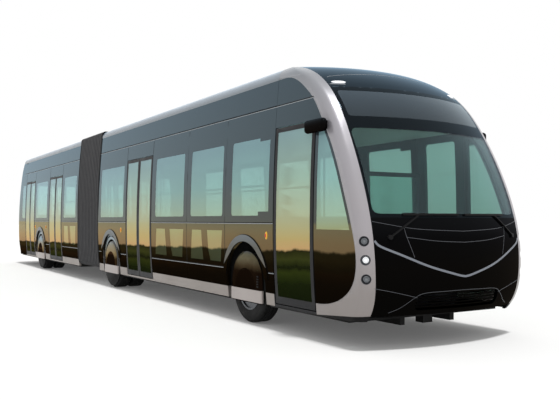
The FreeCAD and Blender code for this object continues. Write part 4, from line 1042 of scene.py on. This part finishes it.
@dataclass
class SeatPads:
    """Moquette pads on the seat shells of one section."""

    node: str
    body: str
    length: float = 0.40
    height: float = 0.60
    thick: float = 0.05
    seat_pitch: float = 0.45
    gap: float = 0.03
    # The seat's level below a shell's top, and the places of both pads' middles against its front edge
    back_height: float = 0.68
    cushion_place: Point2 = (-0.215, -0.019)
    back_place: Point2 = (-0.468, 0.330)
    cushion_lean: float = -0.048
    back_lean: float = -0.143
    # Two sewn channels in a pad: place, width and depth as shares
    channel: Tuple[float, float, float] = (0.36, 0.1, 0.22)

    def pad(self, size: Vector) -> BMesh:
        """Stuff one pad: crowned on top, drawn in along its sides, with two sewn channels."""
        place, width, depth = self.channel
        bm = bmesh.new()
        bmesh.ops.create_cube(bm, size=2.0)
        bmesh.ops.subdivide_edges(bm, edges=bm.edges[:], cuts=7, use_grid_fill=True)
        for vert in bm.verts:
            u, v, w = vert.co
            crown = (1 - u ** 4) * (1 - v ** 4)
            sewn = math.exp(-((abs(v) - place) / width) ** 2) * depth if w > 0 else 0
            pull = 1 - 0.05 * (1 - v ** 2) * abs(u) - 0.03 * (1 - w ** 2)
            vert.co = Vector((u * pull * size.x / 2, v * (1 - 0.04 * (1 - u ** 2)) * size.y / 2,
                              w * (0.62 + 0.38 * crown - sewn) * size.z / 2))
        bmesh.ops.smooth_vert(bm, verts=bm.verts, factor=0.5, use_axis_x=True, use_axis_y=True,
                              use_axis_z=True)
        return bm

    def build(self) -> None:
        """Lay cushions and backs on every shell of the node."""
        shells = cad_copy(self.node)
        level = Matrix.Rotation(self.cushion_lean, 4, "Y")
        upright = Matrix.Rotation(-math.pi / 2 + self.back_lean, 4, "Y") @ Matrix.Rotation(math.pi, 4, "X")
        kinds = ((self.length, level, self.cushion_place), (self.height, upright, self.back_place))
        parts = []
        for group in islands(shells):
            low = Vector([min(v.co[axis] for v in group) for axis in range(3)])
            high = Vector([max(v.co[axis] for v in group) for axis in range(3)])
            count = max(1, round((high.y - low.y) / self.seat_pitch))
            width = (high.y - low.y) / count
            for index in range(count):
                y = low.y + (index + 0.5) * width
                for long, turn, (ahead, up) in kinds:
                    pad = self.pad(Vector((long, width - self.gap, self.thick)))
                    spot = Vector((high.x + ahead, y, high.z - self.back_height + up))
                    bmesh.ops.transform(pad, matrix=Matrix.Translation(spot) @ turn, verts=pad.verts)
                    parts.append(pad)
        shells.free()
        pads = joined(parts)
        bmesh.ops.recalc_face_normals(pads, faces=pads.faces)
        obj = finished(self.node + "_pads", pads, (MOQUETTE,), self.body, sharp=60)


@dataclass
class NoseTrim:
    """Seams and the silver V on the mask, the roof markers' lenses, and the tray under the nose."""

    v_line: Tuple[Point2, ...] = ((-1.134, 1.200), (-1.075, 1.140), (-0.866, 1.053), (-0.508, 0.915),
                                  (-0.12, 0.812), (0.0, 0.791))
    v_width: float = 0.024
    v_thick: float = 2.5 * MM
    # Seams of the mask: two over the V, the slanted one at their end, the lowest, and the intake's edge
    seams: Tuple[Tuple[Point2, ...], ...] = (
        ((-1.138, 1.408), (-0.759, 1.340), (-0.473, 1.315), (0.0, 1.297)),
        ((-0.770, 1.236), (-0.400, 1.192), (0.0, 1.173)),
        ((-0.790, 1.345), (-0.770, 1.236), (-0.695, 1.017)),
        ((-1.138, 0.690), (-0.900, 0.640), (-0.640, 0.577)),
        ((-0.927, 0.414), (-0.813, 0.468), (-0.690, 0.560), (-0.560, 0.622), (-0.250, 0.634), (0.0, 0.638)))
    dome_line: Tuple[Point2, ...] = ((-1.00, 3.150), (-0.92, 3.173), (-0.62, 3.214), (-0.30, 3.237),
                                     (0.0, 3.246))
    seam_width: float = 0.005
    marker: Point2 = (0.925, 3.075)
    marker_halves: Tuple[float, float, float] = (0.012, 0.090, 0.024)
    tray_level: float = 0.385
    tray_inset: float = 0.045
    tray_rear: float = 8.30
    tray_half: float = 1.0
    tray_thick: float = 0.006

    def both(self, skin: Skin, points: Sequence[Point2], width: float, thick: float) -> List[BMesh]:
        """Lay a line drawn on the right half of the nose on both halves."""
        line = smooth_line(points)
        return [band(skin.front([(side * y, z) for y, z in line]), width, thick) for side in (1, -1)]

    def build(self) -> None:
        """Build the lines of mask and dome, the markers and the tray."""
        mask = Skin("front_mask", "front_hoop", "windscreen")
        seams = []
        for points in self.seams:
            seams += self.both(mask, points, self.seam_width, LINE_THICK)
        finished("mask_seams", joined(seams), (GAP_GREY,), FRONT)
        line = self.both(mask, self.v_line, self.v_width, self.v_thick)
        finished("mask_v_line", joined(line), (LINE_GREY,), FRONT)
        dome = Skin("roof_dome", "front_hoop", "windscreen")
        arc = self.both(dome, self.dome_line, self.seam_width, 1.0 * MM)
        finished("dome_seam", joined(arc), (EDGE,), FRONT)
        self.markers(Skin("roof_dome", "lamps_front"))
        self.tray(Skin("front_mask", "front_hoop"))

    def markers(self, skin: Skin) -> None:
        """Set a long bright lens over each roof marker, flush with the dome."""
        lenses = []
        for side in (1, -1):
            point, out = skin.front([(side * self.marker[0], self.marker[1])])[0]
            along = out.cross(Vector((0, 0, 1))).normalized()
            turn = Matrix((out, along, along.cross(out))).transposed().to_4x4()
            lens = ellipsoid(self.marker_halves, 24, 12)
            bmesh.ops.transform(lens, matrix=Matrix.Translation(point) @ turn, verts=lens.verts)
            lenses.append(lens)
        finished("roof_marker_lenses", joined(lenses), (LENS_BRIGHT,), FRONT)

    def tray(self, skin: Skin) -> None:
        """Close the nose from below with a dark tray that follows the mask's foot."""
        edge = skin.front([(y / 10, self.tray_level + 0.02) for y in range(-11, 12)])
        corners = [(point.x - self.tray_inset, point.y) for point, _ in edge]
        corners += [(self.tray_rear, self.tray_half), (self.tray_rear, -self.tray_half)]
        bm = bmesh.new()
        bm.faces.new([bm.verts.new((x, y, self.tray_level)) for x, y in corners])
        bmesh.ops.solidify(bm, geom=bm.faces[:], thickness=self.tray_thick)
        bmesh.ops.recalc_face_normals(bm, faces=bm.faces)
        finished("nose_undertray", bm, (DARK,), FRONT, sharp=30)


@dataclass
class SideTrim:
    """Arch rings, seams and markers along both sides."""

    belt_seam: float = 1.385
    low_seam: float = 0.729
    fascia_seam: float = 2.892
    fascia_ends: Point2 = (-8.30, 8.10)
    dark_width: float = 0.013
    light_width: float = 0.007
    joint_width: float = 0.010
    # Upright joints: their places, and the heights that they span
    bay_joints: Tuple[float, ...] = (5.909, 4.544)
    bay_spans: Tuple[Point2, ...] = ((1.395, 2.86), (0.75, 1.355))
    door_joints: Tuple[float, ...] = (2.964, 1.564, -3.496, -4.896, -6.696, -7.996)
    door_spans: Tuple[Point2, ...] = ((2.615, 2.86),)
    # Rings of an arch: distance beyond its edge, width, thickness and lift off the skin
    outer_seal: Tuple[float, ...] = (ARCH_LIP, 0.014, 1.5 * MM, 0.0)
    inner_seal: Tuple[float, ...] = (-0.045, 0.012, 0.012, -0.022)
    moulding: Tuple[float, ...] = (-0.056, 0.112, 0.012, -0.036)
    ring_start: float = 6.0
    ring_steps: int = 40
    marker_height: float = 1.220
    marker_spots: Tuple[float, ...] = (7.104, 1.284, -5.216, -6.587)
    marker_halves: Tuple[float, float, float] = (0.030, 0.012, 0.052)
    core_halves: Tuple[float, float, float] = (0.019, 0.018, 0.034)

    def door(self, number: int) -> Point2:
        """Rear and front of a door opening."""
        ends = ("", "") if number == 1 else ("_rear", "_front")
        names = [f"door_{number}{end}_leaf" for end in ends]
        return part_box(names[0])[0].x - JAMB_GAP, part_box(names[1])[1].x + JAMB_GAP

    def runs(self, side: Side, body: str, keep_arches: bool) -> List[Point2]:
        """Rear and front of each stretch of plain side wall of a body."""
        low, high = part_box("bellows")
        gaps = [(low.x, high.x)]
        if side is Side.RIGHT:
            gaps += [self.door(number) for number in (1, 2, 3, 4)]
        if not keep_arches:
            half = ARCH_HALF + ARCH_LIP
            gaps += [(axle - half, axle + half) for axle in AXLES]
        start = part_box("sill_rear")[0].x
        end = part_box("door_1_leaf")[1].x + JAMB_GAP
        stretches = []
        for rear, front in sorted(gaps) + [(end, end)]:
            if rear - start > 0.02 and (rear >= low.x + 0.01) == (body == FRONT):
                stretches.append((start, rear))
            start = max(start, front)
        return stretches

    def seams(self, body: str) -> None:
        """Lay the dark gaps and light edges along a body's sides, and its upright joints."""
        low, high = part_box("bellows")
        rear_end, front_end = self.fascia_ends
        fascia = [(high.x, front_end) if body == FRONT else (rear_end, low.x)]
        drop = (self.dark_width + self.light_width) / 2
        dark, light = [], []
        for side in Side:
            whole, between = self.runs(side, body, True), self.runs(side, body, False)
            for runs, seam, edge in ((whole, self.belt_seam, self.belt_seam - drop),
                                     (between, self.low_seam + drop, self.low_seam),
                                     (fascia, self.fascia_seam, self.fascia_seam - drop)):
                for parts, height, width in ((dark, seam, self.dark_width), (light, edge, self.light_width)):
                    parts += [band(side_path([(rear, height), (front, height)], side), width, LINE_THICK)
                              for rear, front in runs]
            for places, spans in ((self.bay_joints, self.bay_spans), (self.door_joints, self.door_spans)):
                for x in places:
                    if (x > 0) == (body == FRONT):
                        dark += [band(side_path([(x, foot), (x, (foot + head) / 2), (x, head)], side),
                                      self.joint_width, LINE_THICK) for foot, head in spans]
        finished(f"side_seams_dark_{body}", joined(dark), (SEAL,), body)
        finished(f"side_seams_light_{body}", joined(light), (EDGE,), body)

    def ring(self, axle: float, side: Side, beyond: float, width: float, thick: float, lift: float) -> BMesh:
        """Bend one strip round an arch."""
        radius = ARCH_HALF + beyond
        sweep = 180 - 2 * self.ring_start
        turns = [math.radians(self.ring_start + step * sweep / self.ring_steps)
                 for step in range(self.ring_steps + 1)]
        arc = [(axle + radius * math.cos(turn), ARCH_LEVEL + radius * math.sin(turn)) for turn in turns]
        return band(side_path(arc, side), width, thick, lift)

    def arches(self) -> None:
        """Ring every arch with a dark seal, and fill the fixed arches with a two-step moulding."""
        for axle in AXLES:
            body = FRONT if axle > 0 else REAR
            spot = round(abs(axle) * 10)
            fixed = axle != AXLES[0]
            rows = (self.outer_seal, self.inner_seal) if fixed else (self.outer_seal,)
            seals = [self.ring(axle, side, *row) for side in Side for row in rows]
            finished(f"arch_seal_{body}_{spot}", joined(seals), (SEAL,), body)
            if fixed:
                mouldings = [self.ring(axle, side, *self.moulding) for side in Side]
                finished(f"arch_moulding_{body}_{spot}", joined(mouldings), (LIP_BRIGHT,), body)

    def markers(self, x: float) -> None:
        """Set an amber marker with a red core on both sides."""
        body = FRONT if x > 0 else REAR
        for word, halves, finish in (("side_marker", self.marker_halves, AMBER),
                                     ("side_marker_core", self.core_halves, RED)):
            parts = []
            for side in Side:
                part = ellipsoid(halves, 16, 10)
                centre = Vector((x, side.value * skin_y(self.marker_height), self.marker_height))
                bmesh.ops.translate(part, vec=centre, verts=part.verts)
                parts.append(part)
            finished(f"{word}_{body}_{round(abs(x) * 10)}", joined(parts), (finish,), body)

    def build(self) -> None:
        """Build arch rings, seams and markers of both sections."""
        self.arches()
        for body in (FRONT, REAR):
            self.seams(body)
        for x in self.marker_spots:
            self.markers(x)


class Bus:
    """The whole bus: the CAD nodes that stay get their finishes, and the other classes add their pieces."""

    plain: Dict[str, Surface] = {
        "side_bays_front": PANEL, "side_bays_rear": PANEL, "cantrail_front": PANEL, "cantrail_rear": PANEL,
        "sill_rear": SILL_SILVER, "front_mask": MASK, "roof_dome": DOME, "tail_lamps": RED, "wipers": DARK,
        "ceiling_front": CEILING, "ceiling_rear": CEILING, "battery_pack_front": CASE,
        "battery_pack_rear": CASE, "front_axle": CHASSIS, "middle_axle": CHASSIS, "drive_axle": CHASSIS,
        "turntable_bearing": CHASSIS, "turntable": PLATE, "seats_front": SHELL, "seats_rear": SHELL,
        "handrails_front": RAIL, "handrails_rear": RAIL, "knuckle_left": COVER_FRONT,
        "knuckle_right": COVER_FRONT,
    }
    floor_level: float = 0.30
    roof_edge: float = 1.02
    cowl_bottom: float = 3.232
    # Below this line, which rises towards the mask, the hoop is painted black as painted shade of its underside
    hoop_painted_shade_line: Tuple[Point2, ...] = ((8.20, 0.312), (9.20, 0.392))
    # The window behind the driver: its box's rear, inner and lower corner, and the opposite one
    cab_window: Tuple[Tuple[float, float, float], ...] = ((7.30, 0.24, 1.20), (7.40, 1.13, 2.04))
    # Two clear shapes in each lower pane: the gap between them, their ends' lean, and the rear one's share
    pane_gap: float = 0.215
    pane_lean: float = 0.060
    pane_share: float = 0.47
    # The first bay's front edge, and its window's two steps at the top and the foot: length, level
    first_bay: float = 7.150
    notches: Tuple[Point2, ...] = ((0.265, 2.471), (0.270, 1.535))
    window_middle: float = 2.0
    # Below this level the fixed covers' plates are rubber guards in front of the tyres
    plate_foot: float = 0.312
    # Where the arch lips' inner edges start to leave the arch, and where they meet the outer edges
    lip_taper: Tuple[Point2, ...] = ((0.385, 0.968), (0.602, 0.790))
    lip_reach: float = 0.70
    # The lamps: roof markers lie above the first level, and a bright pair near the second
    marker_level: float = 2.0
    bright_level: float = 0.995
    lens_radius: float = 0.0335
    lens_depth: float = 0.03
    # Boxes of a pod and its foot on the left side: two corners, edge rounding and steps in it
    pod_boxes: Tuple[tuple, ...] = (((8.085, 1.262, 2.437), (8.480, 1.350, 2.592), 0.043, 5),
                                    ((8.200, 1.220, 2.470), (8.420, 1.275, 2.570), 0.010, 2))

    def coat(self) -> None:
        """Give each CAD node that stays its finish."""
        for name, node in NODES.items():
            finish = RIM if name.startswith("rim") else self.plain.get(name)
            if finish is None:
                continue
            node.data.materials.clear()
            node.data.materials.append(finish.material())
            LOG.info("%s: %s", name, finish.title)

    def arches(self) -> None:
        """Tell the grey arch lips from the black covers behind them."""
        (top_half, top), (foot_half, foot) = self.lip_taper

        def rule(centre: Vector, normal: Vector) -> int:
            """Number gloss backs 0, grey lips 1, enamel beside their tapered ends 2 and rubber feet 3."""
            if centre.z < self.plate_foot:
                return 3
            for axle in AXLES:
                x = abs(centre.x - axle)
                away = math.hypot(x, centre.z - ARCH_LEVEL) if centre.z > ARCH_LEVEL else x
                if ARCH_HALF - 0.0001 < away < self.lip_reach:
                    tapered = (x - top_half) * (top - foot) < (foot_half - top_half) * (top - centre.z)
                    if tapered and centre.z < top:
                        return 2
                    return 1 if abs(normal.y) > 0.6 else 0
            return 0

        for node, body in sections("arch_trim"):
            cuts = [line_plane((axle + way * top_half, top), (axle + way * foot_half, foot))
                    for axle in AXLES if (axle > 0) == (body == FRONT) for way in (1, -1)]
            cuts += [level_plane("z", height) for height in (top, self.plate_foot)]
            Recoat(node, body, "arch_trim", (GLOSS, LIP_GREY, PANEL, RUBBER), rule, cuts).build()

    def roofs(self) -> None:
        """Paint the rolled roof edges silver, leave the top plain, and carry the silver on round the tail."""
        cuts = [level_plane("y", side * self.roof_edge) for side in (-1, 1)]
        for node, body in sections("roof_cowl"):
            Recoat(node, body, "silver_paint", (COWL, CEILING),
                   lambda centre, _: 1 if abs(centre.y) < self.roof_edge else 0, cuts).build()
        Recoat("tail_shell", REAR, "black_panel", (PANEL, COWL),
               lambda centre, _: 1 if centre.z > self.cowl_bottom else 0,
               [level_plane("z", self.cowl_bottom)]).build()

    def lower_outlines(self, node: str) -> Dict[int, List[List[Point2]]]:
        """Find the shapes of the clear lower panes, by the sign of their side."""
        shapes: Dict[int, List[List[Point2]]] = {1: [], -1: []}
        glass = cad_copy(node)
        boxes = []
        for group in islands(glass):
            xs, zs = [vert.co.x for vert in group], [vert.co.z for vert in group]
            if max(zs) < BELT + 0.05:
                boxes.append((1 if group[0].co.y > 0 else -1, min(xs), max(xs), min(zs), max(zs)))
        glass.free()
        boxes.sort()
        half = self.pane_lean / 2
        for (side, rear, _, foot, head), (_, _, front, _, _) in zip(boxes[::2], boxes[1::2]):
            clear = front - rear - self.pane_gap - self.pane_lean
            meet = rear + half + self.pane_share * clear
            start = meet + self.pane_gap
            shapes[side] += [[(rear, foot), (meet + half, foot), (meet - half, head),
                              (rear + self.pane_lean, head)],
                             [(start + half, foot), (front - self.pane_lean, foot), (front, head),
                              (start - half, head)]]
        return shapes

    def panes(self) -> None:
        """Share the side panes out between outer glass, inner glass and printed borders."""
        for node, body in sections("side_glass"):
            shapes = self.lower_outlines(node)
            cuts = [level_plane("z", QUARTER_SEAM)]
            if body == FRONT:
                for length, level in self.notches:
                    cuts += [level_plane("z", level), level_plane("x", self.first_bay - length)]
            for outline in shapes[1] + shapes[-1]:
                cuts += [line_plane(start, end) for start, end in zip(outline, outline[1:] + outline[:1])
                         if abs(end[1] - start[1]) > 0.01]

            def rule(centre: Vector, normal: Vector) -> int:
                """Pick printed border, outer glass or inner glass."""
                if centre.x > QUARTER_REAR and centre.z < QUARTER_SEAM:
                    return 0
                if centre.z < BELT + 0.05 and centre.x < QUARTER_REAR:
                    if not any(inside(outline, centre.x, centre.z)
                               for outline in shapes[1 if centre.y > 0 else -1]):
                        return 0
                for length, level in self.notches:
                    if self.first_bay - length < centre.x < self.first_bay + 0.1:
                        if (centre.z - level) * (level - self.window_middle) > 0:
                            return 0
                return 1 if normal.y * centre.y > 0.5 * abs(centre.y) else 2

            Recoat(node, body, "window_glass", (PANEL, SIDE_GLASS, INNER_GLASS), rule, cuts, 0.5).build()

    def hoop(self) -> None:
        """Paint the hoop black below a line that rises towards the mask, as painted shade of its underside."""
        point, normal = line_plane(*self.hoop_painted_shade_line)
        Recoat("front_hoop", FRONT, "silver_paint", (SILVER, DARK),
               lambda centre, _: 1 if (centre - point).dot(normal) > 0 else 0, [(point, normal)]).build()

    def thresholds(self) -> None:
        """Leave the front door's threshold charcoal where the other sills are silver."""
        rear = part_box("door_1_leaf")[0].x - 2 * JAMB_GAP
        Recoat("sill_front", FRONT, "silver_paint", (SILL_SILVER, FRAME),
               lambda centre, _: 1 if centre.x > rear and centre.y < 0 else 0,
               [level_plane("x", rear)]).build()

    def floors(self) -> None:
        """Tell the vinyl on the floors from the painted chassis below it."""
        for node, body in sections("floor"):
            Recoat(node, body, "floor_vinyl", (CHASSIS, VINYL),
                   lambda centre, normal: 1 if normal.z > 0.6 and centre.z > self.floor_level else 0).build()

    def cab(self) -> None:
        """Glaze the upper part of the wall behind the driver."""
        (rear, inner, foot), (front, outer, head) = self.cab_window
        cuts = [level_plane(*place) for place in (("z", foot), ("z", head), ("y", inner), ("y", outer))]

        def rule(centre: Vector, normal: Vector) -> int:
            """Tell the window from the wall."""
            glazed = rear < centre.x < front and inner < centre.y < outer and foot < centre.z < head
            return 1 if glazed and abs(normal.x) > 0.7 else 0

        Recoat("driver_cab", FRONT, "cab", (CAB, INNER_GLASS), rule, cuts).build()

    def pods(self) -> None:
        """Round off the camera pods, each on a short foot at the hoop."""
        parts = [block((low[0], side * low[1], low[2]), (high[0], side * high[1], high[2]), edge, steps)
                 for side in (1, -1) for low, high, edge, steps in self.pod_boxes]
        finished("camera_pods_rounded", joined(parts), (POD,), FRONT, ("camera_pods",))

    def lamps(self) -> None:
        """Give the corner lamps cups and lenses, the middle pair bright, and the roof markers dull lenses."""
        bm = cad_copy("lamps_front")
        for group in islands(bm):
            members = set(group)
            centre = sum((vert.co for vert in group), Vector()) / len(group)
            way = Vector((1, 1 if centre.y > 0 else -1, 0)).normalized()
            front = max(vert.co.dot(way) for vert in group)
            rim = [vert.co for vert in group if vert.co.dot(way) > front - 0.0005]
            middle = sum(rim, Vector()) / len(rim)
            for face in bm.faces:
                if face.verts[0] not in members:
                    continue
                here = face.calc_center_median()
                off = (here - middle) - way * (here - middle).dot(way)
                if centre.z > self.marker_level:
                    face.material_index = 2
                elif off.length < self.lens_radius and front - here.dot(way) < self.lens_depth:
                    face.material_index = 1 if abs(centre.z - self.bright_level) < 0.05 else 2
                else:
                    face.material_index = 0
        finished("lamps_front_dressed", bm, (CUP, LENS_BRIGHT, LENS_DULL), FRONT, ("lamps_front",))

    def wheels_and_doors(self) -> None:
        """Add the door leaves' and tyres' pieces in the order of their names, then the wheel covers."""
        for name in sorted(NODES):
            if name.startswith("door_"):
                DoorLeaf(name).build()
            elif name.startswith("tyre"):
                place, word = name.split("_")[1:3]
                Tyres(name, f"wheel_{place}_{word}").build()
        steered, middle, driven = AXLES
        for side in Side:
            WheelCover(steered, f"steer_{side.name.lower()}", side, 1.2462, COVER_FRONT, louvres=5).build()
            WheelCover(middle, FRONT, side, 1.2522).build()
            WheelCover(driven, REAR, side, 1.2522).build()

    def build(self) -> None:
        """Build everything in order."""
        self.coat()
        self.arches()
        self.roofs()
        self.panes()
        self.hoop()
        self.thresholds()
        self.floors()
        self.cab()
        self.pods()
        self.lamps()
        Windscreen().build()
        self.wheels_and_doors()
        Bellows().build()
        for node, body in sections("seats"):
            SeatPads(node, body).build()
        NoseTrim().build()
        SideTrim().build()


@dataclass
class Stage:
    """The pale floor, the white surroundings, the lamp overhead and the camera of the photograph."""

    floor_size: float = 400.0
    sky_light: float = 0.50
    floor_glow: float = 0.09
    sun_strength: float = 1.9
    sun_angle: float = math.radians(6)
    sun_lean: float = math.radians(14)
    camera_place: Tuple[float, float, float] = (14.865, -5.833, 1.425)
    camera_turn: float = math.radians(58.426)
    lens: float = 44.23
    shift: float = 0.0354

    def seen(self, graph: Graph) -> NodeSocket:
        """One where the ray comes from the camera, a mirror or glass, else nought."""
        path = graph.add("LightPath").outputs
        first = graph.calculate("MAXIMUM", path["Is Camera Ray"], path["Is Glossy Ray"])
        return graph.calculate("MAXIMUM", first, path["Is Transmission Ray"])

    def world(self) -> None:
        """White where it is seen, and plain soft light elsewhere."""
        world = bpy.data.worlds.new("studio")
        graph = Graph(world)
        graph.tree.nodes.clear()
        light, white = [graph.add("Background", {"Color": (1, 1, 1, 1), "Strength": strength})
                        for strength in (self.sky_light, 1.0)]
        mix = graph.mixed(self.seen(graph), light.outputs["Background"], white.outputs["Background"])
        graph.add("OutputWorld", {"Surface": mix})
        bpy.context.scene.world = world

    def floor(self) -> None:
        """A wide matt floor that keeps the shadow and reads white."""
        bm = bmesh.new()
        bmesh.ops.create_grid(bm, x_segments=1, y_segments=1, size=self.floor_size / 2)
        material = bpy.data.materials.new("stage_paint_rolled")
        graph = Graph(material)
        glow = graph.calculate("MULTIPLY", self.seen(graph), self.floor_glow)
        graph.shader({"Base Color": linear(STAGE_WHITE), "Roughness": 0.9, "Specular IOR Level": 0.0,
                      "Emission Color": (1, 1, 1, 1), "Emission Strength": glow})
        obj = meshed("stage_floor", bm, [material])

    def lamp(self) -> None:
        """One broad lamp nearly straight above."""
        data = bpy.data.lights.new("overhead", "SUN")
        data.energy = self.sun_strength
        data.angle = self.sun_angle
        add_object("overhead", data).rotation_euler = (0, self.sun_lean, 0)

    def camera(self) -> None:
        """The photograph's view: level, near the right front corner."""
        data = bpy.data.cameras.new("camera")
        data.lens = self.lens
        data.sensor_width = 36.0
        data.shift_y = self.shift
        data.clip_end = 500.0
        camera = add_object("camera", data)
        camera.location = self.camera_place
        camera.rotation_euler = (math.pi / 2, 0, self.camera_turn)
        bpy.context.scene.camera = camera

    def build(self) -> None:
        """Set the stage."""
        self.world()
        self.floor()
        self.lamp()
        self.camera()
        bpy.context.scene.view_settings.view_transform = "Standard"


def corners(box: Sequence) -> List[List[float]]:
    """A box as plain lists of numbers."""
    return [[float(value) for value in corner] for corner in box]


def main() -> None:
    """Dress the bus and set the stage."""
    logging.basicConfig(level=logging.INFO)
    Bus().build()
    Stage().build()
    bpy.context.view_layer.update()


if __name__ == "__main__":
    main()
